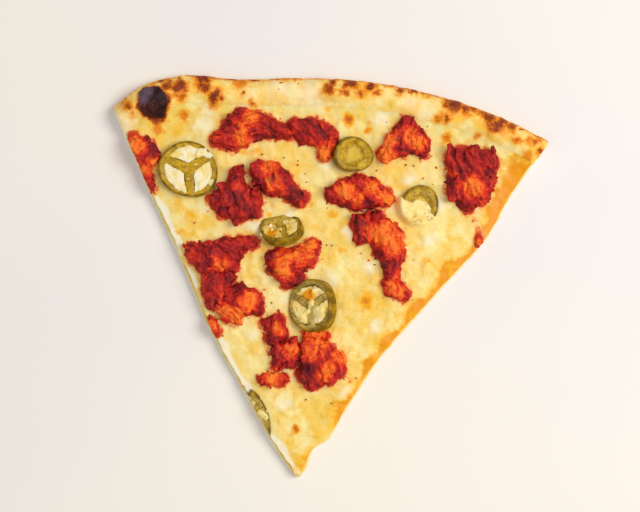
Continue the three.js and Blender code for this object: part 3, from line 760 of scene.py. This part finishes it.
def chicken_finish():
    f = Finish("spiced_chicken")
    fine = f.cloud(0.7, 4, 0.6)
    grit = f.cloud(1.6, 6, 0.75, 0.8)
    ridge = f.field("ridge")
    tone = f.field("tone") + (grit - 0.5) * 1.4 + (fine - 0.5) * 0.55 + (ridge - 0.5) * 0.25
    base = f.mix(tint(116, 10, 18), tint(182, 26, 22), tone.rise(0.0, 0.3))
    base = f.mix(base, tint(226, 58, 14), tone.rise(0.3, 0.58))
    base = f.mix(base, tint(254, 128, 36), tone.rise(0.58, 0.98))
    dark = (f.field("dark") + (fine - 0.5) * 0.8 - ridge * 0.2).rise(0.2, 0.8)
    base = f.mix(base, tint(84, 8, 22), dark * 0.7)
    relief = f.bump(fine * 0.5 + grit * 0.5, 0.35, 0.7)
    return f.done(
        Base_Color=base, Roughness=0.55 + grit * 0.2, Normal=relief, Specular_IOR_Level=0.3,
        Subsurface_Weight=0.08, Subsurface_Radius=(0.003, 0.001, 0.0005), Subsurface_Scale=0.5,
    )


def pepper_finish():
    f = Finish("baked_jalapeno")
    fine = f.cloud(0.8, 4, 0.6)
    broad = f.cloud(3.4, 4, 0.6)
    flesh = f.mix(tint(160, 122, 0), tint(212, 170, 24), (broad + (fine - 0.5) * 0.5).rise(0.36, 0.68))
    murk = f.mix(tint(134, 110, 40), tint(200, 174, 96), (broad + (fine - 0.5) * 0.6).rise(0.38, 0.66))
    flesh = f.mix(flesh, murk, f.field("murk"))
    pale = (f.field("pith") + (fine - 0.5) * 0.4 + (broad - 0.5) * 0.3).rise(0.3, 0.9)
    flesh = f.mix(flesh, tint(216, 182, 50), pale)
    skin = f.mix(tint(112, 84, 0), tint(172, 132, 0), broad.rise(0.38, 0.66))
    base = f.mix(flesh, skin, (f.field("skin") + (fine - 0.5) * 0.3).rise(0.25, 0.7))
    relief = f.bump(fine, 0.25, 0.6)
    return f.done(
        Base_Color=base, Roughness=0.26 + fine * 0.16, Normal=relief, Specular_IOR_Level=0.22,
        Subsurface_Weight=0.25, Subsurface_Radius=(0.003, 0.0025, 0.0006), Subsurface_Scale=0.6,
    )


def seed_finish():
    f = Finish("jalapeno_seed")
    base = f.mix(tint(240, 226, 168), tint(214, 188, 112), f.cloud(0.9, 3, 0.5).rise(0.35, 0.7))
    return f.done(Base_Color=base, Roughness=0.4)


def herb_finish():
    f = Finish("dried_herb")
    base = f.mix(tint(62, 40, 22), tint(120, 84, 36), f.cloud(0.8, 3, 0.5).rise(0.4, 0.65))
    return f.done(Base_Color=base, Roughness=0.7)


DOUGH = dough_finish()
CHEESE = cheese_finish()
MEAT = chicken_finish()
PEPPER = pepper_finish()
SEED = seed_finish()
HERB = herb_finish()


# Crust

def bake_marks(piece, xyz, rim_far, facing_up=1):
    """Where the oven has coloured the rim, on the dough and on the cheese that meets it, and where a
    highlight is painted on the burnt bubble.
    """
    xy = xyz[:, :2]
    wave = grain(xy, 9, 4)
    band = smooth((5 + 3 * wave - rim_far) / 5)
    rimmed = smooth((15 - rim_far) / 6)
    warm = 0.85 * marks(xy, [(x, y, radius * 2.6) for x, y, radius, _ in BROWNED], 0.9)
    scorched = [(x, y, radius * 1.35, 0.6) for x, y, radius, _ in CHARRED]
    warm = np.maximum(warm, marks(xy, scorched, 0.4))
    patch = 0.2 + 0.35 * grain(xy, 6, 72)
    toasted = band * (0.45 + 0.4 * wave + 0.35 * grain(xy, 2.4, 75)) + rimmed * patch
    wall_gold = (0.5 + 0.5 * grain(xyz, 8, 78) + 0.3 * grain(xyz, 2.6, 79)) * smooth((4 - rim_far) / 2)
    mark(piece, "gold", np.maximum(toasted, warm) * facing_up + wall_gold * (1 - facing_up))
    # Painted highlight on the upper left of the burnt bubble
    mark(piece, "painted_sheen", marks(xy, PAINTED_SHEEN, 1.0, 0.4))
    wall_bake = 0.45 * smooth(grain(xyz, 5, 76) * 1.5) * (1 - facing_up) * smooth((3 - rim_far) / 2)
    edge = smooth((2.2 - rim_far) / 1.8) * (0.5 + 0.7 * grain(xy, 5, 7))
    ring = marks(xy, CHARRED, 0.2, 0.5)
    speck = 0.7 * smooth((grain(xy, 1.7, 82) - 0.42) / 0.25) * smooth((6 - rim_far) / 4)
    blots = marks(xy, [(x, y, radius * 1.1, dark) for x, y, radius, dark in BROWNED], 0.75)
    baked = np.maximum.reduce([blots * 0.95, ring, edge, speck]) * facing_up
    mark(piece, "brown", np.maximum(baked, wall_bake))
    mark(piece, "char", marks(xy, BUBBLE, 0.22, 0.5) * facing_up)


def rounding(far, reach, drop):
    """How far a rounded edge has dropped at each distance from the outline."""
    t = np.clip(1 - far / reach, 0, 1)
    return drop * (1 - np.sqrt(1 - t * t))


def bake_crust():
    """The dough: thin under the cheese, puffed up and browned along the rim, with crumb at the cuts."""
    def top(xy):
        return dough_top.at(xy) - rounding(from_curve(TOP, xy), *TOP_ROUNDING)

    def bottom(xy):
        return rounding(from_curve(TOP, xy), *BASE_ROUNDING)

    crust = sheet_body(*CRUST_GRID, slice_spot, top, bottom)
    modify(crust, "REMESH", mode="VOXEL", voxel_size=DOUGH_VOXEL * MM)
    xyz = spots_of(crust)
    rim_far = from_curve(TOP, xyz[:, :2])
    cut_far = np.minimum(from_curve(LEFT, xyz[:, :2]), from_curve(RIGHT, xyz[:, :2]))
    group = crust.vertex_groups.new(name="rim")
    group.add(np.where(rim_far < RIM_SOFTENED)[0].tolist(), 1.0, "REPLACE")
    modify(crust, "SMOOTH", factor=0.6, iterations=14, vertex_group="rim")
    xyz = spots_of(crust)
    out = normals_of(crust)
    upper = smooth((out[:, 2] - 0.1) / 0.5)
    steep = 1 - smooth((np.abs(out[:, 2]) - 0.3) / 0.5)
    wall = steep * smooth((1.8 - cut_far) / 0.8) * smooth((rim_far - 1) / 4)
    rough = grain(xyz, 2.6, 1) * 0.22 + grain(xyz, 1.3, 2) * 0.16
    holes = -0.55 * smooth((grain(xyz * [1, 1, 1.7], 2.0, 3) - 0.25) / 0.4)
    rimmed = smooth((26 - rim_far) / 10)
    bubble = (0.5 * grain(xyz, 5, 8) + 0.3 * smooth(grain(xyz, 3.2, 9) * 2)) * smooth((13.5 - rim_far) / 4)
    puff = 1.0 * marks(xyz[:, :2], BUBBLE, 0.4, 0.3)
    push = rough * (0.5 + 0.5 * rimmed) + holes * wall + (bubble * rimmed + puff) * upper
    flat = smooth((0.9 - xyz[:, 2]) / 0.6)
    xyz = xyz + out * (push * (1 - flat))[:, None]
    xyz[:, 2] = np.where(flat > 0.5, np.maximum(xyz[:, 2], 0), np.maximum(xyz[:, 2], 0.05))
    move_spots(crust, xyz)
    xy = xyz[:, :2]
    bake_marks(crust, xyz, rim_far, smooth((out[:, 2] - 0.05) / 0.45))
    mark(crust, "crumb", wall)
    mark(crust, "floury", marks(xy, FLOURY, 1.0) * (0.8 + 0.4 * grain(xy, 2.4, 77)))
    mark(crust, "under", smooth((-out[:, 2] - 0.4) / 0.4))
    finish_piece(crust, "pizza_crust", DOUGH, "dough", "crust")


# Cheese

def pepper_face(name, xy):
    """Height of the upper face of a jalapeno slice at each place."""
    (x, y), _, _, thick, _, lean, _, lift, _ = JALAPENOS[name]
    out = Matrix.Rotation(lean[0], 3, "X") @ Matrix.Rotation(lean[1], 3, "Y") @ Vector((0, 0, 1))
    middle = float(cheese_top.at(np.array([[x, y]]))[0]) + lift + thick / 2 * out.z
    return middle - (out.x * (xy[:, 0] - x) + out.y * (xy[:, 1] - y)) / out.z


def over_pepper(xy):
    """Where cheese lies over the half-hidden jalapeno slice: all but a crescent of it."""
    ragged = 0.9 * grain(xy, 2.6, 18) + 0.4 * grain(xy, 1.2, 19)
    x, y, radius = COVER
    inner = far_from(xy, x, y) + ragged
    (x, y), slice_radius = JALAPENOS["jalapeno_half"][:2]
    lower = y - 0.8 - 0.4 * (xy[:, 0] - x) + ragged - xy[:, 1]
    covered = np.maximum(smooth((radius - inner) / 1.4), smooth(lower / 1.4))
    return covered * smooth((slice_radius + 3 - far_from(xy, x, y)) / 3)


def melt_cheese():
    """The cheese: lumpy, banked up round the meat, and lying over the half slice."""
    def top(xy):
        rim_far = from_curve(TOP, xy)
        edge = smooth(np.minimum(from_curve(LEFT, xy) - 1, from_curve(RIGHT, xy) - 0.8) / 4)
        melt = 0.34 * grain(xy, 6.5, 11) + 0.26 * grain(xy, 3.1, 12) + 0.12 * grain(xy, 1.5, 13)
        clots = 0.5 * smooth(grain(xy, 4.2, 14) * 1.8)
        near = from_chicken(xy)
        bank = 0.9 * np.exp(-np.maximum(near, 0) / 1.6)
        crumbly = 1.0 + 0.4 * grain(xy, 2.0, 15) + 0.3 * grain(xy, 1.1, 16)
        face = pepper_face("jalapeno_half", xy) - cheese_top.at(xy)
        cover = over_pepper(xy) * np.maximum(face + crumbly, 0)
        flat = smooth((rim_far - CHEESE_BORDER) / 6)
        puff = 0.5 * marks(xy, CREAMY)
        clear = 1 - 0.8 * marks(xy, CUT_SLICE_BED, 0.3)
        raised = (melt + clots + bank + puff) * (0.25 + 0.75 * flat) * (0.3 + 0.7 * edge) * clear
        thin = smooth((rim_far - CHEESE_BORDER + 1.5) / 7)
        under = dough_top.at(xy) - 0.5
        open_share = 1 - np.clip(cover / 2, 0, 1)
        return under + (cheese_top.at(xy) - 0.2 + raised * open_share - under) * thin + cover

    def bottom(xy):
        return dough_top.at(xy) - 0.6

    cheese = sheet_body(*CHEESE_GRID, cheese_spot, top, bottom)
    xyz = spots_of(cheese)
    xy = xyz[:, :2]
    rim_far = from_curve(TOP, xy)
    left, right = from_curve(LEFT, xy), from_curve(RIGHT, xy)
    side = smooth((3.2 - np.minimum(left, right)) / 1.4) * smooth((rim_far - 14) / 4)
    xyz[:, :2] += (grain(xyz, 3.2, 21) * 0.5 * side)[:, None] * np.array([1, 0.4])
    move_spots(cheese, xyz)
    near = from_chicken(xy)
    reach = near + 0.9 * grain(xy, 1.6, 25) + 1.2 * grain(xy, 4, 22)
    halo = np.exp(-np.maximum(reach - 0.3, 0) / 1.5) * (0.85 + 0.35 * grain(xy, 5, 24))
    halo = np.maximum(halo, marks(xy, SMEARS, 0.9) * 0.8)
    mark(cheese, "sauce", halo)
    mark(cheese, "toast", marks(xy, [(x, y, radius * 1.25, dark) for x, y, radius, dark in TOASTED], 0.9))
    pale_edge = smooth((5.5 + 2 * grain(xy, 7, 23) - left) / 3) * (near > 2)
    cream = np.maximum(0.7 * marks(xy, CREAMY, 1.0) + 0.3 * over_pepper(xy), pale_edge)
    mark(cheese, "cream", cream)
    murky = marks(xy, COVER_MURK, 0.9)
    mark(cheese, "grey", over_pepper(xy) * (0.22 + 0.62 * murky + 0.3 * grain(xy, 1.5, 17)))
    above_tip = smooth((xy[:, 1] + 80) / 30)
    shore = smooth((7.5 - right) / 7) * (0.15 + 0.6 * above_tip + 0.2 * smooth((xy[:, 1] - 10) / 40))
    mark(cheese, "oil", marks(xy, OILY, 0.9) + shore)
    bake_marks(cheese, xyz, rim_far)
    finish_piece(cheese, "melted_cheese", CHEESE, "cheese", "cheese")


# Chicken

def add_shred(place, size, turn):
    """Adds an angular shred of meat to the piece in edit mode."""
    bpy.ops.mesh.primitive_cube_add(
        size=2 * MM, location=[c * MM for c in place], rotation=turn, scale=size,
    )


def held_in(xyz):
    """Draws back to the cuts what lies beyond them."""
    for table, side in ((LEFT, 1), (RIGHT, -1)):
        step = np.gradient(table, axis=0)
        inward = side * np.column_stack([step[:, 1], -step[:, 0]]) / np.linalg.norm(step, axis=1)[:, None]
        gap = ((xyz[:, None, :2] - table[None, ::8]) ** 2).sum(2)
        near = gap.argmin(1) * 8
        depth = ((xyz[:, :2] - table[near]) * inward[near]).sum(1)
        short = np.clip(0.9 + 0.4 * grain(xyz, 2, 39) - depth, 0, 8)
        xyz[:, :2] += inward[near] * short[:, None]
    return xyz


def filled_out(lobes):
    """The lobes of a clump with more of them where two stand close, so that they read as one piece."""
    more = []
    for i, (x, y, radius, height) in enumerate(lobes):
        for x2, y2, radius2, height2 in lobes[i + 1 :]:
            if math.hypot(x - x2, y - y2) < 1.35 * (radius + radius2):
                between = ((x + x2) / 2, (y + y2) / 2, (radius + radius2) * 0.46, (height + height2) * 0.46)
                more.append(between)
    return list(lobes) + more


def chicken_piece(name, lobes, dice):
    """A piece of torn chicken: broad lobes crossed by shreds, melted together and roughened."""
    lobes = filled_out(lobes)
    level = [float(z) for z in cheese_top.at(np.array(lobes)[:, :2])]
    grainline = dice.uniform(0, math.pi)
    piece = start_piece()
    for (x, y, radius, height), base in zip(lobes, level):
        add_ball((x, y, base), (radius * 1.02, radius * 1.02, height * 0.8))
        for _ in range(3):
            angle, out = dice.uniform(0, 2 * math.pi), dice.uniform(0.0, 0.75)
            lift = height * 0.74 * math.sqrt(1 - out * out)
            spot = (x + out * radius * math.cos(angle), y + out * radius * math.sin(angle), base + lift)
            length, width = radius * dice.uniform(0.5, 0.95), radius * dice.uniform(0.16, 0.3)
            size = (length, width, dice.uniform(0.6, 1.1))
            turn = (dice.uniform(-0.5, 0.5), dice.uniform(-0.35, 0.35), grainline + dice.uniform(-0.5, 0.5))
            add_shred(spot, size, turn)
        for _ in range(2):
            angle, out = dice.uniform(0, 2 * math.pi), radius * dice.uniform(0.9, 1.15)
            spot = (x + out * math.cos(angle), y + out * math.sin(angle), base + dice.uniform(0.1, 0.6))
            size = (dice.uniform(0.8, 1.8), dice.uniform(0.3, 0.6), dice.uniform(0.35, 0.6))
            add_shred(spot, size, (0, dice.uniform(-0.3, 0.3), angle + dice.uniform(-0.9, 0.9)))
    bpy.ops.object.mode_set(mode="OBJECT")
    skinned(piece, MEAT_VOXEL, 0.5, 3)
    xyz, out = spots_of(piece), normals_of(piece)
    bend = np.column_stack([grain(xyz, 9, 35 + k) for k in range(3)]) * 4
    along, aside = math.cos(grainline), math.sin(grainline)
    q = xyz + bend
    fibre = q.copy()
    fibre[:, 0] = (q[:, 0] * along + q[:, 1] * aside) / 2
    fibre[:, 1] = q[:, 1] * along - q[:, 0] * aside
    torn = (1 - np.abs(grain(fibre, 3.0, 31))) ** 2 + 0.4 * (1 - np.abs(grain(fibre, 1.4, 36))) ** 2
    upward = 0.35 + 0.65 * smooth((out[:, 2] + 0.1) / 0.7)
    push = (1.2 * torn - 1.0) * upward + 0.6 * grain(xyz, 3.4, 38) + 0.3 * grain(xyz, 1.5, 32)
    push += 0.2 * grain(xyz, 0.8, 33)
    xyz = xyz + out * push[:, None] * np.array([0.7, 0.7, 0.9])
    floor = cheese_top.at(xyz[:, :2]) - 1.2
    xyz[:, 2] = np.maximum(xyz[:, 2], floor)
    xyz = held_in(xyz)
    move_spots(piece, xyz)
    xy = xyz[:, :2]
    mark(piece, "ridge", 0.5 + ridges(piece, 8) * 0.8)
    streak = fibre * [1, 3, 1]
    meat = marks(xy, [(x, y, radius * 1.5) for x, y, radius in ORANGE], 0.5)
    mark(piece, "tone", 0.2 + 0.24 * grain(xyz, 5, 34) + 0.62 * meat + 0.26 * grain(streak, 3, 37))
    foot = smooth((2.2 - (xyz[:, 2] - floor)) / 2) * (1 - meat)
    mark(piece, "dark", marks(xy, DARK, 0.6) * 0.7 + 0.15 * foot)
    finish_piece(piece, "roast_" + name, MEAT, "chicken", name)


# Jalapenos

def lay(piece, place):
    """Moves the piece's vertices, in mm, by a matrix."""
    turn = np.array(place.to_3x3())
    move_spots(piece, spots_of(piece) @ turn.T + np.array(place.translation))


def chamber_edge(radius, k, chambers, t):
    """The outline of one seed chamber, a rounded wedge with its point near the middle of the slice."""
    middle = k / chambers * 2 * math.pi
    half = math.pi / chambers - 0.17
    angles = middle + np.linspace(-half, half, 9)
    point = [0.2 * radius * math.cos(middle), 0.2 * radius * math.sin(middle)]
    arc = 0.79 * radius * np.column_stack([np.cos(angles), np.sin(angles)])
    loop = np.vstack([point, arc, point])
    along = np.concatenate([[0], np.cumsum(np.linalg.norm(np.diff(loop, axis=0), axis=1))])
    where = (t + 0.5 - middle / (2 * math.pi)) % 1
    return np.column_stack([np.interp(where * along[-1], along, loop[:, axis]) for axis in (0, 1)])


def chamber_body(radius, k, chambers, height, level=0):
    """A body of the shape of one seed chamber, about a level in the slice."""
    body = added(bpy.ops.mesh.primitive_cylinder_add, vertices=32, radius=MM, depth=height * MM)
    xyz = spots_of(body)
    around = np.arctan2(xyz[:, 1], xyz[:, 0]) / (2 * math.pi) % 1
    xyz[:, :2] = chamber_edge(radius, k, chambers, around)
    xyz[:, 2] += level
    move_spots(body, xyz)
    return body


def trim_at_cut(piece):
    """Cuts the piece off along the left side of the slice, as the knife did."""
    start, end = [Vector(place) * MM for place in KNIFE_LINE]
    inward = (end - start).cross(Vector((0, 0, -1))).normalized()
    tiny = 1e-6
    select_only(piece)
    bpy.ops.object.mode_set(mode="EDIT")
    bpy.ops.mesh.select_all(action="SELECT")
    bpy.ops.mesh.bisect(
        plane_co=start + inward * KNIFE_INSET * MM, plane_no=inward, clear_inner=True, threshold=tiny,
    )
    bpy.ops.mesh.select_all(action="SELECT")
    bpy.ops.mesh.remove_doubles(threshold=tiny)
    bpy.ops.mesh.select_all(action="DESELECT")
    bpy.ops.mesh.select_non_manifold(extend=False)
    bpy.ops.mesh.edge_face_add()
    bpy.ops.object.mode_set(mode="OBJECT")


def wilted(xyz):
    """Lays on the cheese, and draws in, the far side of a slice that would dip below it."""
    depth = np.maximum(cheese_top.at(xyz[:, :2]) + 0.2 - xyz[:, 2], 0)
    xyz[:, 1] -= 0.62 * depth
    lifted = cheese_top.at(xyz[:, :2]) + 0.4 + 0.9 * (1 - np.exp(-depth / 1.5)) - 0.15 * depth
    xyz[:, 2] = np.where(depth > 0, lifted, xyz[:, 2])
    return xyz


def pepper_disc(radius, thick, chambers):
    """A disc with its seed chambers cut through and its edges softened."""
    disc = bpy.ops.mesh.primitive_cylinder_add
    piece = added(disc, vertices=96, radius=radius * MM, depth=thick * MM)
    for k in range(chambers):
        tool = chamber_body(radius, k, chambers, 3 * thick)
        modify(piece, "BOOLEAN", operation="DIFFERENCE", object=tool, solver="EXACT")
        bpy.data.objects.remove(tool)
    skinned(piece, PEPPER_VOXEL, 0.6, 16)
    return piece


def slice_place(spec):
    """How a slice lies in the cheese: leant, with slanting sides, and turned."""
    (x, y), _, _, thick, turn, lean, slope, lift, _ = spec
    level = float(cheese_top.at(np.array([[x, y]]))[0])
    spin = Matrix.Rotation(math.radians(turn), 4, "Z")
    tilt = Matrix.Rotation(lean[0], 4, "X") @ Matrix.Rotation(lean[1], 4, "Y")
    slant = Matrix.Identity(4)
    slant[0][2], slant[1][2] = -slope[0] / thick, -slope[1] / thick
    return Matrix.Translation((x, y, level + lift)) @ tilt @ slant @ spin


def pepper_slice(name, spec):
    """A slice of pepper: skin, wall and seed chambers. Lays it into the cheese and returns its place."""
    _, radius, oval, thick, _, _, _, _, chambers = spec
    piece = pepper_disc(radius, thick, chambers)
    xyz = spots_of(piece)
    far = far_from(xyz, 0, 0)
    angle = np.arctan2(xyz[:, 1], xyz[:, 0])
    ring = 1 + oval * np.cos(2 * angle) + 0.03 * np.cos(3 * angle + 1)
    rind = smooth((far - radius + 1.5 + 0.4 * grain(xyz, 3, 44)) / 0.9)
    around = np.full(len(xyz), 9.0)
    for k in range(chambers):
        edge = chamber_edge(radius, k, chambers, np.linspace(0, 1, 61))
        around = np.minimum(around, from_curve(edge, xyz[:, :2]))
    if chambers:
        core, dish = smooth((1.1 - around) / 1.1) * 0.6, 0.0
    else:
        uneven = np.hypot(xyz[:, 0] * 1.35, xyz[:, 1]) + 0.9 * grain(xyz, 4, 43)
        core = 0.8 * smooth((0.68 * radius - uneven) / 3.4)
        dish = -0.8 * smooth((0.72 * radius - uneven) / 1.4)
    torn = 0.17 * smooth(grain(xyz * [1, 1, 0.4], 2.6, 46) * 2.4) if name == "jalapeno_cut" else 0
    xyz[:, :2] *= (ring * (1 + 0.012 * grain(xyz, 4, 41) - torn))[:, None]
    up = np.sign(xyz[:, 2]) * smooth((np.abs(xyz[:, 2]) - thick * 0.3) / (thick * 0.15))
    xyz[:, 2] += up * (dish + 0.25 * grain(xyz, 2.2, 42) + 0.35 * rind * (1 - core))
    move_spots(piece, xyz)
    mark(piece, "skin", rind)
    mark(piece, "pith", core)
    mark(piece, "murk", MURK.get(name, 0) * (1 + 0.4 * grain(xyz, 4, 45)))
    place = slice_place(spec)
    lay(piece, place)
    xyz = spots_of(piece)
    if name == "jalapeno_upright":
        xyz = wilted(xyz)
    xyz[:, 2] = np.maximum(xyz[:, 2], dough_top.at(xyz[:, :2]) + 0.3)
    move_spots(piece, xyz)
    if name == "jalapeno_cut":
        trim_at_cut(piece)
    finish_piece(piece, "baked_" + name, PEPPER, "jalapeno", name)
    return place


# Small things on top

def fill_chambers(laid, dice):
    """Cheese and pith that fill the seed chambers and lie over the slices in places."""
    lumps = []
    for pepper, level, height, reach in FILLED:
        radius, chambers = JALAPENOS[pepper][1], JALAPENOS[pepper][-1]
        for k in range(chambers):
            middle = level + dice.uniform(-0.15, 0.15)
            lump = chamber_body(radius * reach, k, chambers, height, middle)
            lay(lump, laid[pepper])
            if pepper == "jalapeno_cut":
                trim_at_cut(lump)
            lumps.append(lump)
    for pepper, x, y, length, width, turn in SPILLED:
        height = float(pepper_face(pepper, np.array([[x, y]]))[0])
        lean = JALAPENOS[pepper][5]
        add_ball((x, y, height), (length, width, 0.8), (*lean, math.radians(turn)))
        lumps.append(bpy.context.object)
    deselect()
    for lump in lumps:
        lump.select_set(True)
    bpy.context.view_layer.objects.active = lumps[0]
    bpy.ops.object.transform_apply(location=True, rotation=True, scale=True)
    bpy.ops.object.join()
    piece = bpy.context.object
    skinned(piece, FILLING_VOXEL, 0.6, 8)
    roughened(piece, (0.5, 2.4, 51), (0.3, 1.0, 52))
    xyz = spots_of(piece)
    xy = xyz[:, :2]
    golden = marks(xy, FILLING_GOLD, 0.4)
    murky = marks(xy, FILLING_MURK, 0.1)
    mark(piece, "cream", (0.6 + 0.4 * grain(xyz, 3, 53)) * (1 - golden) * (1 - 0.85 * murky))
    mark(piece, "oil", golden * 0.8)
    specks = 0.6 * smooth((grain(xyz, 1.4, 54) - 0.4) / 0.4)
    mark(piece, "grey", specks + murky * (0.6 + 0.5 * grain(xyz, 2, 55)))
    mark(piece, "sauce", marks(xy, FILLING_RED, 0.8) * 0.4)
    finish_piece(piece, "chamber_cheese", CHEESE, "cheese")


def drop_seeds(laid, dice):
    """Flat pale seeds in the chambers."""
    piece = start_piece()
    for pepper, share, angles, lift in SEEDS:
        out = share * JALAPENOS[pepper][1]
        for angle in angles:
            spot = laid[pepper] @ Vector((out * math.cos(angle), out * math.sin(angle), lift))
            turn = (dice.uniform(-0.4, 0.4), dice.uniform(-0.4, 0.4), dice.uniform(0, 3.1))
            add_ball(spot, (1.35, 1.05, 0.42), turn)
    bpy.ops.object.mode_set(mode="OBJECT")
    finish_piece(piece, "jalapeno_seeds", SEED, "jalapeno")


def scatter_crumbs(dice):
    """Crumbs of spiced meat round the pieces that they fell from, and at the places where they lie alone."""
    piece = start_piece()
    spots = [(x, y, 0.42) for x, y in STRAY]
    names = list(CHICKEN)
    while len(spots) < CRUMBS:
        x, y, radius, _ = dice.choice(CHICKEN[dice.choice(names)])
        angle, out = dice.uniform(0, 2 * math.pi), radius + dice.expovariate(1.1)
        spots.append((x + out * math.cos(angle), y + out * math.sin(angle), dice.uniform(0.16, 0.42)))
    xy = np.array(spots)[:, :2]
    inside = np.minimum(from_curve(LEFT, xy), from_curve(RIGHT, xy)) > 3
    level = cheese_top.at(xy) + 0.35
    for (x, y, size), keep, z in zip(spots, inside, level):
        if keep:
            turn = (dice.uniform(0, 3.1), dice.uniform(0, 3.1), dice.uniform(0, 3.1))
            add_ball((x, y, float(z)), (size * dice.uniform(1, 1.8), size, size * 0.8), turn, 2)
    bpy.ops.object.mode_set(mode="OBJECT")
    tone = 0.45 + 0.5 * grain(spots_of(piece), 4, 62)
    mark(piece, "tone", tone)
    mark(piece, "ridge", np.full(len(tone), 0.5))
    roughened(piece, (0.22, 0.6, 61))
    finish_piece(piece, "spice_crumbs", MEAT, "chicken")


def scatter_herbs(dice):
    """Dark flecks of dried herb."""
    piece = start_piece()
    spots = [(x, y, 0.32) for x, y in HERBS]
    while len(spots) < FLECKS:
        u, v = dice.uniform(0.08, 0.92), dice.uniform(0.15, 0.97)
        x, y = slice_spot(np.array([u]), np.array([v]))[0]
        spots.append((x, y, dice.uniform(0.12, 0.22)))
    xy = np.array(spots)[:, :2]
    level = np.where(from_curve(TOP, xy) < CHEESE_BORDER, dough_top.at(xy), cheese_top.at(xy) + 0.25)
    for (x, y, size), z in zip(spots, level):
        turn = (dice.uniform(-0.5, 0.5), dice.uniform(-0.5, 0.5), dice.uniform(0, 3.1))
        add_ball((x, y, float(z)), (size * dice.uniform(1, 2), size, 0.25), turn, 2)
    bpy.ops.object.mode_set(mode="OBJECT")
    roughened(piece, (0.15, 0.5, 63))
    finish_piece(piece, "herb_flecks", HERB, "cheese")


bake_crust()
melt_cheese()
dice = random.Random(7)
for clump, lobes in CHICKEN.items():
    chicken_piece(clump, lobes, dice)
laid = {pepper: pepper_slice(pepper, spec) for pepper, spec in JALAPENOS.items()}
fill_chambers(laid, dice)
drop_seeds(laid, dice)
scatter_crumbs(dice)
scatter_herbs(dice)


# Floor, light and camera

PIXEL = 0.49 * MM  # the size that one pixel of the picture shows
PICTURE = (640, 512)
PICTURE_ORIGIN = (322.19, 277.53)  # the pixel where the slice's origin lies
PICTURE_TURN = math.radians(4.03)
CAMERA_HEIGHT = 0.85
SENSOR = 36

# Lamps: name, place, width, power, colour
LAMPS = [
    ("window", (0.8, 0.2, 1.12), 0.9, 13.2, (1.0, 0.97, 0.91)),
    ("fill", (-0.9, -0.3, 1.2), 1.4, 2.8, (0.95, 0.97, 1.0)),
]
ROOM_COLOUR = (1.0, 0.99, 0.98, 1)
ROOM_BRIGHTNESS = 0.46


def stage_floor():
    f = Finish("pale_board")
    shade = f.mix(tint(236, 232, 232), tint(244, 238, 228), f.cloud(300, 2, 0.5).rise(0.3, 0.7))
    floor = added(bpy.ops.mesh.primitive_plane_add, size=6, location=(0, 0, -0.0002))
    floor.name = "floor"
    floor.data.materials.append(f.done(Base_Color=shade, Roughness=0.6))


def soft_light(name, place, size, power, colour):
    data = bpy.data.lights.new(name, "AREA")
    data.shape = "DISK"
    data.size = size
    data.energy = power
    data.color = colour
    lamp = bpy.data.objects.new(name, data)
    bpy.context.collection.objects.link(lamp)
    lamp.matrix_world = Matrix.Translation(place) @ Vector(place).to_track_quat("Z", "Y").to_matrix().to_4x4()


def set_camera():
    """Looks down on the slice, a little from its left, turned so that it lies as in the picture."""
    up = Vector((-math.sin(PICTURE_TURN), math.cos(PICTURE_TURN), 0))
    right = Vector((math.cos(PICTURE_TURN), math.sin(PICTURE_TURN), 0))
    aside, above = PICTURE[0] / 2 - PICTURE_ORIGIN[0], PICTURE_ORIGIN[1] - PICTURE[1] / 2
    target = up * above * PIXEL + right * aside * PIXEL + Vector((0, 0, 0.004))
    back = Vector((0, 0, 1)) - right * math.tan(math.radians(4)) - up * math.tan(math.radians(2))
    back.normalize()
    side = up.cross(back).normalized()
    turn = Matrix((side, back.cross(side), back)).transposed().to_4x4()
    data = bpy.data.cameras.new("camera")
    data.sensor_width = SENSOR
    data.lens = SENSOR * CAMERA_HEIGHT / (PICTURE[0] * PIXEL)
    camera = bpy.data.objects.new("camera", data)
    bpy.context.collection.objects.link(camera)
    camera.matrix_world = Matrix.Translation(target + back * CAMERA_HEIGHT) @ turn
    bpy.context.scene.camera = camera


stage_floor()
for lamp in LAMPS:
    soft_light(*lamp)
set_camera()
world = bpy.data.worlds.new("room")
world.use_nodes = True
glow = world.node_tree.nodes["Background"].inputs
glow["Color"].default_value = ROOM_COLOUR
glow["Strength"].default_value = ROOM_BRIGHTNESS
bpy.context.scene.world = world
bpy.context.scene.view_settings.view_transform = "Standard"
